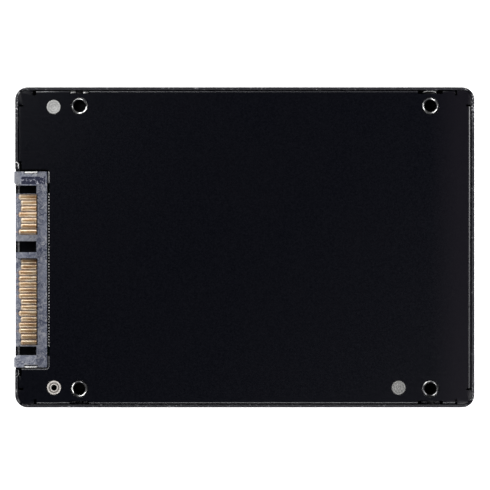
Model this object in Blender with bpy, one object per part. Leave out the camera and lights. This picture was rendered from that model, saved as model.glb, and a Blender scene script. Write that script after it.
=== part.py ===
"""A 2.5-inch, 7 mm solid state drive, lying on its label face, in separate sub-parts.

Frame: +X runs along the drive, away from the connector; +Y runs across it; +Z points out of
the underside, the face with the mounting holes.  Z = 0 is the label face.  A deep tray, whose
floor is the label face, is closed by a flat cover whose edges fold down inside the tray walls.
"""

import math

import bmesh
import bpy
from mathutils import Vector

MM = 0.001

# ---- case ----------------------------------------------------------------------------------
CASE_LENGTH = 100.2 * MM
CASE_WIDTH = 69.85 * MM
CASE_HEIGHT = 7.0 * MM
CONNECTOR_PROUD = 0.25 * MM
X_FRONT = -(CASE_LENGTH + CONNECTOR_PROUD) / 2  # connector guide faces
X_CASE = X_FRONT + CONNECTOR_PROUD  # the tray's connector end
X_END = X_CASE + CASE_LENGTH
HALF_WIDTH = CASE_WIDTH / 2
CORNER_RADIUS = 2.7 * MM
ARC_STEPS = 6  # facets in each quarter turn of the case corners

# ---- tray ----------------------------------------------------------------------------------
WALL = 0.6 * MM
FLOOR = 0.7 * MM
TRAY_RIM_Z = 6.9 * MM
FOOT_ROUND = 0.8 * MM
INNER_ROUND = 0.4 * MM
FOOT_ROUND_STEPS = 4
INNER_ROUND_STEPS = 2
FRONT_LIP_Z = 1.2 * MM
LABEL_RECESS = 0.15 * MM
POST_RADIUS = 2.5 * MM
POST_BORE_RADIUS = 1.35 * MM
POST_BORE_Z = 1.0 * MM
PIN_RADIUS = 1.1 * MM
PIN_TOP_Z = 4.6 * MM

# ---- cover ---------------------------------------------------------------------------------
SHEET = 0.5 * MM
SHEET_Z = CASE_HEIGHT - SHEET
FLANGE_INSET = 0.8 * MM  # outer face of the folded flange, from the case outline
FOLD_RADIUS = 0.5 * MM
FOLD_STEPS = 4
FLANGE_FOOT_Z = 4.2 * MM
FLANGE_OVERLAP = 0.3 * MM
PLATE_INSET = 1.45 * MM  # edge of the flat sheet, inside the fold
TAB_INSET = 0.7 * MM  # flat corner tabs lie just inside the tray wall
SLIT_FROM_CORNER = 4.0 * MM
SLIT_WIDTH = 0.45 * MM
SLIT_DEPTH = 1.8 * MM
NOTCH_DEPTH = 7.5 * MM
NOTCH_Y_HIGH = 17.0 * MM
NOTCH_Y_LOW = -26.7 * MM
NOTCH_ROUND = 0.5 * MM
NOTCH_ROUND_STEPS = 3
FRONT_FLANGE_GAP_HIGH = 18.8 * MM
FRONT_FLANGE_GAP_LOW = -28.1 * MM
WINDOW_HALF = (2.2 * MM, 2.75 * MM)
COLLAR_HOLE_RADIUS = 1.95 * MM
RIVET_HOLE_TOP_RADIUS = 1.65 * MM
RIVET_HOLE_FOOT_RADIUS = 1.35 * MM

# ---- mounting blocks -----------------------------------------------------------------------
HOLE_X = (X_CASE + 14.0 * MM, X_CASE + 90.6 * MM)
HOLE_Y = 30.86 * MM
SIDE_HOLE_Z = 4.0 * MM
M3_MINOR_RADIUS = 1.25 * MM
BORE_FOOT_Z = 2.0 * MM
COLLAR_RADIUS = 1.82 * MM
COLLAR_TOP_Z = 6.95 * MM
CHAMFER = 0.4 * MM
MOUTH_FLARE = 0.5 * MM  # how much wider a bore is at its mouth
SIDE_COLLAR_RADIUS = 2.0 * MM
SIDE_WINDOW_RADIUS = 2.1 * MM
SIDE_COLLAR_RECESS = 0.05 * MM
BLOCK_HALF_LENGTH = 3.0 * MM
BLOCK_INNER_Y = 27.4 * MM
BLOCK_OUTER_Y = 33.3 * MM
BLOCK_FOOT_Z = 0.76 * MM
BLOCK_TOP_Z = 6.45 * MM
BLOCK_CHAMFER = 0.4 * MM

# ---- rivets and spacers --------------------------------------------------------------------
RIVET_X = (X_CASE + 8.4 * MM, X_CASE + 83.65 * MM)
RIVET_Y = 30.62 * MM
RIVET_HEAD_RADIUS = 1.52 * MM
RIVET_TOP_Z = 6.98 * MM
RIVET_NECK_Z = 6.5 * MM
RIVET_SHANK_RADIUS = 1.15 * MM
RIVET_TIP_RADIUS = 0.92 * MM
RIVET_FACE_RADIUS = 1.44 * MM
RIVET_EDGE_DROP = 0.04 * MM
RIVET_FOOT_Z = 1.1 * MM
RIVET_EYE_RADIUS = 0.55 * MM
RIVET_EYE_DEPTH = 2.2 * MM
RIVET_RING_RADIUS = 1.05 * MM
RIVET_RING_DEPTH = 0.12 * MM
DIMPLE_RADIUS = 0.35 * MM
DIMPLE_FOOT_RADIUS = 0.14 * MM
DIMPLE_DEPTH = 0.08 * MM
SPACER_RADIUS = 2.2 * MM
SPACER_BORE_RADIUS = 1.35 * MM
SPACER_CHAMFER = 0.15 * MM

# ---- circuit board -------------------------------------------------------------------------
BOARD_Z0 = 2.9 * MM
BOARD_Z1 = 3.9 * MM
BOARD_X0 = X_CASE + 4.5 * MM
BOARD_X1 = X_CASE + 86.8 * MM
BOARD_HALF_WIDTH = 33.0 * MM
BOARD_STEP_X = X_CASE + 7.0 * MM
BOARD_STEP_Y_HIGH = 17.3 * MM
BOARD_STEP_Y_LOW = -27.1 * MM
BLOCK_CLEAR = 0.3 * MM
BOARD_HOLE_RADIUS = 1.4 * MM
SOLDER_GAP = 0.04 * MM

# ---- connector (serial ATA plug, 7 + 15 contacts) ------------------------------------------
HOUSING_Z0 = 1.3 * MM
HOUSING_Z1 = 6.6 * MM
HOUSING_Y_HIGH = 16.66 * MM
HOUSING_Y_LOW = -26.48 * MM
CAVITY_BACK_X = X_CASE + 4.65 * MM
HOUSING_REAR_X = X_CASE + 6.9 * MM
GUIDE_HIGH = (13.5 * MM, HOUSING_Y_HIGH)
GUIDE_LOW = (-23.5 * MM, HOUSING_Y_LOW)
GUIDE_LEAD = 0.35 * MM
GUIDE_BEVEL = (0.6 * MM, 0.5 * MM)  # inner front corner, along X and Y
TONGUE_X = X_CASE + 0.2 * MM
TONGUE_Z0 = 2.6 * MM
TONGUE_Z1 = 3.83 * MM
TONGUE_NOSE = 0.3 * MM
SIGNAL_TONGUE = (1.335 * MM, 11.745 * MM)
POWER_TONGUE = (-21.645 * MM, -1.075 * MM)
KEY_WIDTH = 1.27 * MM
KEY_TOP_Z = 5.0 * MM
JOIN = 0.25 * MM  # how far one moulded block runs into the next
EAR_HIGH = (14.0 * MM, 16.3 * MM)
EAR_LOW = (-26.12 * MM, -23.7 * MM)
EAR_X = X_CASE + 10.0 * MM
EAR_Z0 = 3.98 * MM
EAR_Z1 = 5.8 * MM
RIB_X = X_CASE + 7.4 * MM
RIB_Z0 = 4.25 * MM
RIB_Z1 = 4.75 * MM
RIB_WIDTH = 0.4 * MM

# ---- contacts ------------------------------------------------------------------------------
PITCH = 1.27 * MM
SIGNAL_FIRST_Y = 10.95 * MM
POWER_FIRST_Y = -3.02 * MM
SIGNAL_COUNT = 7
POWER_COUNT = 15
LONG_SIGNAL = (1, 4, 7)
LONG_POWER = (3, 4, 5, 6, 7, 10, 12, 13)
LONG_TIP_X = X_CASE + 0.77 * MM
SHORT_TIP_X = X_CASE + 1.2 * MM
CONTACT_WIDTH = 0.84 * MM
CONTACT_THICK = 0.15 * MM
CONTACT_Z = 3.76 * MM
TAIL_WIDTH = 0.44 * MM
TAIL_RISE_X0 = X_CASE + 6.0 * MM
TAIL_RISE_X1 = X_CASE + 6.6 * MM
TAIL_END_X = X_CASE + 8.3 * MM
TIP_WIDTHS = (0.3 * MM, 0.6 * MM)
TIP_REACHES = (0.08 * MM, 0.25 * MM)
TAIL_Z = BOARD_Z1 + SOLDER_GAP
GROOVE_CLEAR = 0.05 * MM
GROOVE_Z0 = 3.73 * MM
GROOVE_Z1 = 4.2 * MM

# ---- board locks ---------------------------------------------------------------------------
LOCK_THICK = 0.28 * MM
LOCK_X0 = X_CASE + 2.05 * MM
LOCK_TALL_X = X_CASE + 4.85 * MM
LOCK_STEP_X = X_CASE + 6.6 * MM
LOCK_END_X = X_CASE + 9.6 * MM
LOCK_FOOT_X = X_CASE + 7.6 * MM
LOCK_Z0 = 2.4 * MM
LOCK_Z1 = 4.8 * MM
LOCK_TOP_Z = 6.35 * MM
LOCK_FOOT_REACH = 1.7 * MM
LOCK_FOOT_THICK = 0.25 * MM
LOCK_CLEAR = 0.06 * MM

# ---- parts on the board --------------------------------------------------------------------
BALL_GAP = 0.12 * MM
CHIP_SUBSTRATE = 0.26 * MM
CHIP_STEP = 0.2 * MM
CHIP_DRAFT = 0.35 * MM
FLASH_SIZE = (14.0 * MM, 18.0 * MM, 1.2 * MM)
CONTROLLER_SIZE = (17.0 * MM, 17.0 * MM, 1.3 * MM)
DRAM_SIZE = (9.0 * MM, 13.0 * MM, 1.1 * MM)
POWER_CHIP_SIZE = (5.0 * MM, 5.0 * MM, 0.9 * MM)
INDUCTOR_SIZE = (5.2 * MM, 5.2 * MM, 1.9 * MM)
CRYSTAL_SIZE = (3.2 * MM, 2.5 * MM, 0.7 * MM)
HOLD_UP_SIZE = (7.3 * MM, 4.3 * MM, 1.8 * MM)
HOLD_UP_X = 31.0 * MM
HOLD_UP_STEP_Y = 12.0 * MM
HOLD_UP_COUNT = 4
HOLD_UP_DRAFT = 0.15 * MM
HOLD_UP_LIFT = 0.1 * MM
TERMINAL_LENGTH = 1.3 * MM
TERMINAL_HALF_WIDTH = 1.2 * MM
TERMINAL_RISE = 0.9 * MM
CONTROLLER_AT = (-19.5 * MM, -1.0 * MM)
DRAM_AT = (-19.0 * MM, 17.0 * MM)
POWER_CHIP_AT = (-33.5 * MM, -14.0 * MM)
INDUCTOR_AT = (-26.5 * MM, -19.5 * MM)
CRYSTAL_AT = (-31.5 * MM, 8.0 * MM)
CHIP_CORNER = 0.4 * MM
MARK_INSET = 1.2 * MM
MARK_RADII = (0.3 * MM, 0.4 * MM)
INDUCTOR_EDGE = 0.25 * MM
INDUCTOR_CORNER = 1.0 * MM
CRYSTAL_LEDGE_Z = 0.45 * MM
PAD_EDGE = 0.2 * MM
PAD_CORNER = 1.0 * MM
FLASH_X = (-3.0 * MM, 14.5 * MM)
FLASH_Y = (-14.0 * MM, 12.0 * MM)
PAD_GAP = 0.04 * MM
PAD_MARGIN = 1.0 * MM
LABEL_SIZE = (88.0 * MM, 60.0 * MM)
LABEL_THICK = 0.1 * MM
LABEL_GAP = 0.03 * MM

ROUND_STEPS = 24  # facets round the larger round features
SMALL_ROUND_STEPS = 16
CHIP_ARC_STEPS = 2
SMOOTH_ANGLE = math.radians(32)
CUT_PAST = 0.5 * MM


# ---- scene and materials -------------------------------------------------------------------
def clear_scene():
    for old in list(bpy.data.objects):
        bpy.data.objects.remove(old, do_unlink=True)


def principled(name, colour, roughness, metallic):
    material = bpy.data.materials.new(name)
    material.use_nodes = True
    shader = material.node_tree.nodes["Principled BSDF"]
    shader.inputs["Base Color"].default_value = (*colour, 1.0)
    shader.inputs["Roughness"].default_value = roughness
    shader.inputs["Metallic"].default_value = metallic
    return material


def powder_coat(name):
    return principled(name, (0.012, 0.013, 0.018), 0.5, 0.3)


def bare_steel(name):
    return principled(name, (0.56, 0.55, 0.53), 0.32, 0.9)


def moulded_plastic(name):
    return principled(name, (0.05, 0.055, 0.07), 0.35, 0.0)


def gold_plate(name):
    return principled(name, (0.72, 0.5, 0.3), 0.3, 0.9)


def tin_plate(name):
    return principled(name, (0.66, 0.66, 0.65), 0.35, 0.9)


def board_laminate(name):
    return principled(name, (0.02, 0.1, 0.05), 0.45, 0.0)


def chip_resin(name):
    return principled(name, (0.025, 0.025, 0.028), 0.6, 0.0)


def ferrite(name):
    return principled(name, (0.11, 0.11, 0.12), 0.6, 0.0)


def tantalum_case(name):
    return principled(name, (0.55, 0.32, 0.06), 0.5, 0.0)


def thermal_gel(name):
    return principled(name, (0.45, 0.5, 0.58), 0.8, 0.0)


def label_film(name):
    return principled(name, (0.78, 0.78, 0.77), 0.5, 0.0)


# ---- shape helpers -------------------------------------------------------------------------
def finish_object(name, bm, make_material):
    """Turn a bmesh into a named object with outward faces and smooth round surfaces."""
    bmesh.ops.recalc_face_normals(bm, faces=bm.faces)
    mesh = bpy.data.meshes.new(name)
    bm.to_mesh(mesh)
    bm.free()
    thing = bpy.data.objects.new(name, mesh)
    bpy.context.scene.collection.objects.link(thing)
    if make_material is not None:
        mesh.materials.append(make_material(name))
    return thing


def combine(target, tool, operation):
    """Apply one exact Boolean and drop the tool object."""
    modifier = target.modifiers.new("combine", "BOOLEAN")
    modifier.object = tool
    modifier.operation = operation
    modifier.solver = "EXACT"
    bpy.context.view_layer.update()
    graph = bpy.context.evaluated_depsgraph_get()
    mesh = bpy.data.meshes.new_from_object(target.evaluated_get(graph))
    target.modifiers.clear()
    before = target.data
    name = before.name
    target.data = mesh
    bpy.data.meshes.remove(before)
    mesh.name = name
    bpy.data.objects.remove(tool, do_unlink=True)


def cut(target, bm):
    combine(target, finish_object("cutter", bm, None), "DIFFERENCE")


def join(target, bm):
    combine(target, finish_object("addition", bm, None), "UNION")


def smooth(thing):
    for polygon in thing.data.polygons:
        polygon.use_smooth = True
    thing.data.set_sharp_from_angle(angle=SMOOTH_ANGLE)
    return thing


def loft(bm, rings):
    """Join rings of equal vertex count into one closed skin with a cap at each end."""
    loops = [[bm.verts.new(point) for point in ring] for ring in rings]
    count = len(loops[0])
    for lower, upper in zip(loops, loops[1:]):
        for i in range(count):
            j = (i + 1) % count
            bm.faces.new((lower[i], lower[j], upper[j], upper[i]))
    bm.faces.new(list(reversed(loops[0])))
    bm.faces.new(loops[-1])


def box(bm, x_pair, y_pair, z_pair):
    x0, x1 = sorted(x_pair)
    y0, y1 = sorted(y_pair)
    ring = ((x0, y0), (x1, y0), (x1, y1), (x0, y1))
    loft(bm, [[(x, y, z) for x, y in ring] for z in sorted(z_pair)])


def arc(centre_x, centre_y, radius, start, end, steps):
    """Points on an arc, angles in degrees, both ends included."""
    points = []
    for i in range(steps + 1):
        angle = math.radians(start + (end - start) * i / steps)
        points.append((centre_x + radius * math.cos(angle), centre_y + radius * math.sin(angle)))
    return points


def rounded_rectangle(x0, x1, y0, y1, radius, steps):
    """Counter-clockwise outline with round corners."""
    points = []
    points += arc(x1 - radius, y0 + radius, radius, -90, 0, steps)
    points += arc(x1 - radius, y1 - radius, radius, 0, 90, steps)
    points += arc(x0 + radius, y1 - radius, radius, 90, 180, steps)
    points += arc(x0 + radius, y0 + radius, radius, 180, 270, steps)
    return points


def case_ring(inset, z):
    """The case outline pulled in by inset, at height z."""
    outline = rounded_rectangle(
        X_CASE + inset,
        X_END - inset,
        inset - HALF_WIDTH,
        HALF_WIDTH - inset,
        CORNER_RADIUS - inset,
        ARC_STEPS,
    )
    return [(x, y, z) for x, y in outline]


def disc_ring(x, y, radius, z, steps):
    turn = 2 * math.pi / steps
    return [
        (x + radius * math.cos(i * turn), y + radius * math.sin(i * turn), z)
        for i in range(steps)
    ]


def turned(bm, x, y, profile, steps):
    """A solid of revolution about a vertical axis from (radius, z) pairs, capped at both ends."""
    loft(bm, [disc_ring(x, y, radius, z, steps) for radius, z in profile])


def cross_cylinder(bm, x, z, y_pair, radii, steps):
    """A cylinder or cone along Y; radii match the two ends in y_pair."""
    turn = 2 * math.pi / steps
    rings = []
    for y, radius in zip(y_pair, radii):
        rings.append(
            [
                (x + radius * math.cos(i * turn), y, z + radius * math.sin(i * turn))
                for i in range(steps)
            ]
        )
    loft(bm, rings)


def slab(bm, outline, z0, z1):
    """A flat sheet from any simple outline, filled and given its thickness."""
    verts = [bm.verts.new((x, y, z0)) for x, y in outline]
    edges = [bm.edges.new((a, b)) for a, b in zip(verts, verts[1:] + verts[:1])]
    filled = bmesh.ops.triangle_fill(bm, use_beauty=True, use_dissolve=False, edges=edges)
    faces = [item for item in filled["geom"] if isinstance(item, bmesh.types.BMFace)]
    raised = bmesh.ops.extrude_face_region(bm, geom=faces, use_keep_orig=True)
    lifted = [item for item in raised["geom"] if isinstance(item, bmesh.types.BMVert)]
    bmesh.ops.translate(bm, verts=lifted, vec=Vector((0.0, 0.0, z1 - z0)))


def extruded_profile(bm, profile, y0, y1):
    """A solid with a constant (x, z) section from y0 to y1."""
    loft(bm, [[(x, y, z) for x, z in profile] for y in (y0, y1)])


# ---- tray ----------------------------------------------------------------------------------
def tray_skin():
    """Outer foot round, outer wall, rim, inner wall and floor as one closed loft."""
    rings = []
    for u, v in arc(FOOT_ROUND, FOOT_ROUND, FOOT_ROUND, 270, 180, FOOT_ROUND_STEPS):
        rings.append(case_ring(u, v))
    rings.append(case_ring(0.0, TRAY_RIM_Z))
    rings.append(case_ring(WALL, TRAY_RIM_Z))
    centre = (WALL + INNER_ROUND, FLOOR + INNER_ROUND)
    for u, v in arc(*centre, INNER_ROUND, 180, 270, INNER_ROUND_STEPS):
        rings.append(case_ring(u, v))
    bm = bmesh.new()
    loft(bm, rings)
    return bm


def side_windows():
    bm = bmesh.new()
    for x in HOLE_X:
        for side in (-1, 1):
            y_pair = (side * (HALF_WIDTH - 2 * WALL), side * (HALF_WIDTH + CUT_PAST))
            radii = (SIDE_WINDOW_RADIUS, SIDE_WINDOW_RADIUS)
            cross_cylinder(bm, x, SIDE_HOLE_Z, y_pair, radii, ROUND_STEPS)
    return bm


def connector_doorway():
    bm = bmesh.new()
    x_pair = (X_CASE - CUT_PAST, X_CASE + WALL + INNER_ROUND)
    box(bm, x_pair, (NOTCH_Y_LOW, NOTCH_Y_HIGH), (FRONT_LIP_Z, CASE_HEIGHT + CUT_PAST))
    return bm


def label_recess():
    half_x, half_y = (size / 2 + 4 * LABEL_GAP for size in LABEL_SIZE)
    bm = bmesh.new()
    outline = rounded_rectangle(-half_x, half_x, -half_y, half_y, CORNER_RADIUS, ARC_STEPS)
    slab(bm, outline, -CUT_PAST, LABEL_RECESS)
    return bm


def board_posts():
    """Four raised posts carry the board; the one without a rivet has a locating pin."""
    bm = bmesh.new()
    for x in RIVET_X:
        for y in (-RIVET_Y, RIVET_Y):
            top = BOARD_Z0 - SOLDER_GAP
            profile = [(POST_RADIUS, FLOOR / 2), (POST_RADIUS, top)]
            if is_pin_post(x, y):
                profile += [(PIN_RADIUS, top), (PIN_RADIUS, PIN_TOP_Z)]
            turned(bm, x, y, profile, ROUND_STEPS)
    return bm


def is_pin_post(x, y):
    return x == RIVET_X[1] and y > 0


def post_bores():
    bm = bmesh.new()
    for x in RIVET_X:
        for y in (-RIVET_Y, RIVET_Y):
            if not is_pin_post(x, y):
                profile = [(POST_BORE_RADIUS, POST_BORE_Z), (POST_BORE_RADIUS, BOARD_Z0)]
                turned(bm, x, y, profile, SMALL_ROUND_STEPS)
    return bm


def make_top_cover():
    tray = finish_object("top_cover", tray_skin(), powder_coat)
    join(tray, board_posts())
    cut(tray, post_bores())
    cut(tray, connector_doorway())
    cut(tray, side_windows())
    cut(tray, label_recess())
    return smooth(tray)


# ---- cover ---------------------------------------------------------------------------------
def cover_corner(x_sign, y_sign):
    """One corner tab with a relief slit on each side, in counter-clockwise order."""
    x_edge = X_END if x_sign > 0 else X_CASE
    reach = SLIT_FROM_CORNER - SLIT_WIDTH / 2
    deep = SLIT_FROM_CORNER + SLIT_WIDTH / 2
    # distances (along x from the end, along y from the side) walked from the X side to the Y side
    path = [(PLATE_INSET, deep), (SLIT_DEPTH, deep), (SLIT_DEPTH, reach), (TAB_INSET, reach)]
    path += arc(CORNER_RADIUS, CORNER_RADIUS, CORNER_RADIUS - TAB_INSET, 180, 270, ARC_STEPS)
    path += [(reach, TAB_INSET), (reach, SLIT_DEPTH), (deep, SLIT_DEPTH), (deep, PLATE_INSET)]
    points = [(x_edge - x_sign * u, y_sign * (HALF_WIDTH - v)) for u, v in path]
    return points if x_sign * y_sign > 0 else points[::-1]


def cover_outline():
    inner_x = X_CASE + NOTCH_DEPTH
    edge_x = X_CASE + PLATE_INSET
    points = cover_corner(-1, -1) + cover_corner(1, -1) + cover_corner(1, 1) + cover_corner(-1, 1)
    points.append((edge_x, NOTCH_Y_HIGH))
    centre_x, high, low = inner_x - NOTCH_ROUND, NOTCH_Y_HIGH - NOTCH_ROUND, NOTCH_Y_LOW + NOTCH_ROUND
    points += arc(centre_x, high, NOTCH_ROUND, 90, 0, NOTCH_ROUND_STEPS)
    points += arc(centre_x, low, NOTCH_ROUND, 0, -90, NOTCH_ROUND_STEPS)
    points.append((edge_x, NOTCH_Y_LOW))
    return points


def fold_section():
    """(inset, z) section of a folded edge: flange, outer round and a lap onto the flat sheet."""
    inner = FLANGE_INSET + SHEET
    section = [(FLANGE_INSET, FLANGE_FOOT_Z)]
    section += arc(
        FLANGE_INSET + FOLD_RADIUS, CASE_HEIGHT - FOLD_RADIUS, FOLD_RADIUS, 180, 90, FOLD_STEPS
    )
    lap = inner + FLANGE_OVERLAP
    section += [(lap, CASE_HEIGHT), (lap, SHEET_Z), (inner, SHEET_Z), (inner, FLANGE_FOOT_Z)]
    return section


def side_flange_spans():
    """X ranges of the side flanges, broken at the side mounting holes."""
    start = X_CASE + SLIT_FROM_CORNER + SLIT_WIDTH / 2
    end = X_END - SLIT_FROM_CORNER - SLIT_WIDTH / 2
    cuts = [start]
    for x, half in zip(HOLE_X, WINDOW_HALF):
        cuts += [x - half, x + half]
    cuts.append(end)
    return list(zip(cuts[::2], cuts[1::2]))


def end_flange_spans():
    """(x side, y0, y1) of the flanges on the two short ends."""
    reach = HALF_WIDTH - SLIT_FROM_CORNER - SLIT_WIDTH / 2
    return (
        (1, -reach, reach),
        (-1, FRONT_FLANGE_GAP_HIGH, reach),
        (-1, -reach, FRONT_FLANGE_GAP_LOW),
    )


def cover_flanges():
    section = fold_section()
    bm = bmesh.new()
    for x0, x1 in side_flange_spans():
        for side in (-1, 1):
            rings = [[(x, side * (HALF_WIDTH - u), z) for u, z in section] for x in (x0, x1)]
            loft(bm, rings)
    for side, y0, y1 in end_flange_spans():
        edge = X_END if side > 0 else X_CASE
        loft(bm, [[(edge - side * u, y, z) for u, z in section] for y in (y0, y1)])
    return bm


def cover_holes():
    bm = bmesh.new()
    low, high = SHEET_Z - CUT_PAST, CASE_HEIGHT + CUT_PAST
    for x in HOLE_X:
        for y in (-HOLE_Y, HOLE_Y):
            turned(bm, x, y, [(COLLAR_HOLE_RADIUS, low), (COLLAR_HOLE_RADIUS, high)], ROUND_STEPS)
    profile = [
        (RIVET_HOLE_FOOT_RADIUS, low),
        (RIVET_HOLE_FOOT_RADIUS, SHEET_Z),
        (RIVET_HOLE_TOP_RADIUS, CASE_HEIGHT),
        (RIVET_HOLE_TOP_RADIUS, high),
    ]
    for x, y in rivet_places():
        turned(bm, x, y, profile, ROUND_STEPS)
    return bm


def make_bottom_cover():
    bm = bmesh.new()
    slab(bm, cover_outline(), SHEET_Z, CASE_HEIGHT)
    cover = finish_object("bottom_cover", bm, powder_coat)
    join(cover, cover_flanges())
    cut(cover, cover_holes())
    return smooth(cover)


# ---- mounting blocks -----------------------------------------------------------------------
def make_mount_block(name, x, side):
    """A block with an upright M3 bore through the cover and a cross M3 bore through the wall."""
    bm = bmesh.new()
    half, c = BLOCK_HALF_LENGTH, BLOCK_CHAMFER
    y0, y1 = BLOCK_INNER_Y, BLOCK_OUTER_Y
    plan = [
        (-half + c, y0), (half - c, y0), (half, y0 + c), (half, y1 - c),
        (half - c, y1), (-half + c, y1), (-half, y1 - c), (-half, y0 + c),
    ]
    heights = (BLOCK_FOOT_Z, BLOCK_TOP_Z)
    loft(bm, [[(x + u, side * v, z) for u, v in plan] for z in heights])
    block = finish_object(name, bm, bare_steel)
    bm = bmesh.new()
    collar = [(COLLAR_RADIUS, BLOCK_TOP_Z - CUT_PAST), (COLLAR_RADIUS, COLLAR_TOP_Z)]
    turned(bm, x, side * HOLE_Y, collar, ROUND_STEPS)
    join(block, bm)
    bm = bmesh.new()
    mouth = HALF_WIDTH - SIDE_COLLAR_RECESS
    y_pair = (side * (BLOCK_OUTER_Y - CUT_PAST), side * mouth)
    radii = (SIDE_COLLAR_RADIUS, SIDE_COLLAR_RADIUS)
    cross_cylinder(bm, x, SIDE_HOLE_Z, y_pair, radii, ROUND_STEPS)
    join(block, bm)
    cut_upright_bore(block, x, side)
    cut_cross_bore(block, x, side, mouth)
    return smooth(block)


def cut_upright_bore(block, x, side):
    bm = bmesh.new()
    flare = M3_MINOR_RADIUS + MOUTH_FLARE
    profile = [
        (M3_MINOR_RADIUS, BORE_FOOT_Z),
        (M3_MINOR_RADIUS, COLLAR_TOP_Z - CHAMFER),
        (flare, COLLAR_TOP_Z),
        (flare, COLLAR_TOP_Z + CUT_PAST),
    ]
    turned(bm, x, side * HOLE_Y, profile, ROUND_STEPS)
    cut(block, bm)


def cut_cross_bore(block, x, side, mouth):
    bm = bmesh.new()
    radii = (M3_MINOR_RADIUS, M3_MINOR_RADIUS)
    y_pair = (side * HOLE_Y, side * (mouth + CUT_PAST))
    cross_cylinder(bm, x, SIDE_HOLE_Z, y_pair, radii, ROUND_STEPS)
    cut(block, bm)
    bm = bmesh.new()
    y_pair = (side * (mouth - CHAMFER), side * (mouth + CHAMFER))
    radii = (M3_MINOR_RADIUS, M3_MINOR_RADIUS + 2 * MOUTH_FLARE)
    cross_cylinder(bm, x, SIDE_HOLE_Z, y_pair, radii, ROUND_STEPS)
    cut(block, bm)


def make_mount_blocks():
    ends = ("front", "rear")
    for x, end in zip(HOLE_X, ends):
        for side, hand in ((1, "left"), (-1, "right")):
            make_mount_block(f"mount_block_{end}_{hand}", x, side)


# ---- rivets and spacers --------------------------------------------------------------------
def rivet_places():
    return (
        (RIVET_X[0], RIVET_Y),
        (RIVET_X[0], -RIVET_Y),
        (RIVET_X[1], -RIVET_Y),
    )


def rivet_body(x, y):
    profile = [
        (RIVET_TIP_RADIUS, RIVET_FOOT_Z),
        (RIVET_SHANK_RADIUS, RIVET_FOOT_Z + CHAMFER),
        (RIVET_SHANK_RADIUS, RIVET_NECK_Z),
        (RIVET_HEAD_RADIUS, RIVET_TOP_Z - RIVET_EDGE_DROP),
        (RIVET_FACE_RADIUS, RIVET_TOP_Z),
    ]
    bm = bmesh.new()
    turned(bm, x, y, profile, ROUND_STEPS)
    return bm


def make_solid_rivet(name, x, y):
    rivet = finish_object(name, rivet_body(x, y), tin_plate)
    bm = bmesh.new()
    profile = [(DIMPLE_FOOT_RADIUS, RIVET_TOP_Z - DIMPLE_DEPTH), (DIMPLE_RADIUS, RIVET_TOP_Z)]
    profile.append((DIMPLE_RADIUS, RIVET_TOP_Z + CUT_PAST))
    turned(bm, x, y, profile, SMALL_ROUND_STEPS)
    cut(rivet, bm)
    return smooth(rivet)


def make_hollow_rivet(name, x, y):
    rivet = finish_object(name, rivet_body(x, y), tin_plate)
    bm = bmesh.new()
    profile = [
        (RIVET_EYE_RADIUS, RIVET_TOP_Z - RIVET_EYE_DEPTH),
        (RIVET_EYE_RADIUS, RIVET_TOP_Z - RIVET_RING_DEPTH),
        (RIVET_RING_RADIUS, RIVET_TOP_Z),
        (RIVET_RING_RADIUS, RIVET_TOP_Z + CUT_PAST),
    ]
    turned(bm, x, y, profile, SMALL_ROUND_STEPS)
    cut(rivet, bm)
    return smooth(rivet)


def make_spacer(name, x, y):
    """A sleeve between the board and the cover, round the rivet shank."""
    low, high = BOARD_Z1 + SOLDER_GAP, SHEET_Z - SOLDER_GAP
    edge = SPACER_CHAMFER
    bm = bmesh.new()
    profile = [
        (SPACER_RADIUS - edge, low), (SPACER_RADIUS, low + edge),
        (SPACER_RADIUS, high - edge), (SPACER_RADIUS - edge, high),
    ]
    turned(bm, x, y, profile, ROUND_STEPS)
    spacer = finish_object(name, bm, bare_steel)
    bm = bmesh.new()
    bore = [(SPACER_BORE_RADIUS, low - CUT_PAST), (SPACER_BORE_RADIUS, high + CUT_PAST)]
    turned(bm, x, y, bore, SMALL_ROUND_STEPS)
    cut(spacer, bm)
    return smooth(spacer)


def make_rivets():
    front_left, front_right, rear_right = rivet_places()
    make_solid_rivet("rivet_front_left", *front_left)
    make_hollow_rivet("rivet_front_right", *front_right)
    make_solid_rivet("rivet_rear_right", *rear_right)
    make_spacer("spacer_front_left", *front_left)
    make_spacer("spacer_front_right", *front_right)
    make_spacer("spacer_rear_right", *rear_right)


# ---- circuit board -------------------------------------------------------------------------
def board_outline():
    """Counter-clockwise outline with a step for the connector and notches for the blocks."""
    notch_y = BLOCK_INNER_Y - BLOCK_CLEAR
    notch_x0 = HOLE_X[0] - BLOCK_HALF_LENGTH - BLOCK_CLEAR
    notch_x1 = HOLE_X[0] + BLOCK_HALF_LENGTH + BLOCK_CLEAR
    y_side = BOARD_HALF_WIDTH
    return [
        (BOARD_X0, -y_side), (notch_x0, -y_side), (notch_x0, -notch_y), (notch_x1, -notch_y),
        (notch_x1, -y_side), (BOARD_X1, -y_side), (BOARD_X1, y_side), (notch_x1, y_side),
        (notch_x1, notch_y), (notch_x0, notch_y), (notch_x0, y_side), (BOARD_X0, y_side),
        (BOARD_X0, BOARD_STEP_Y_HIGH), (BOARD_STEP_X, BOARD_STEP_Y_HIGH),
        (BOARD_STEP_X, BOARD_STEP_Y_LOW), (BOARD_X0, BOARD_STEP_Y_LOW),
    ]


def make_circuit_board():
    bm = bmesh.new()
    slab(bm, board_outline(), BOARD_Z0, BOARD_Z1)
    board = finish_object("circuit_board", bm, board_laminate)
    bm = bmesh.new()
    ends = (BOARD_Z0 - CUT_PAST, BOARD_Z1 + CUT_PAST)
    for x in RIVET_X:
        for y in (-RIVET_Y, RIVET_Y):
            turned(bm, x, y, [(BOARD_HOLE_RADIUS, z) for z in ends], SMALL_ROUND_STEPS)
    cut(board, bm)
    return smooth(board)


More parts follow.
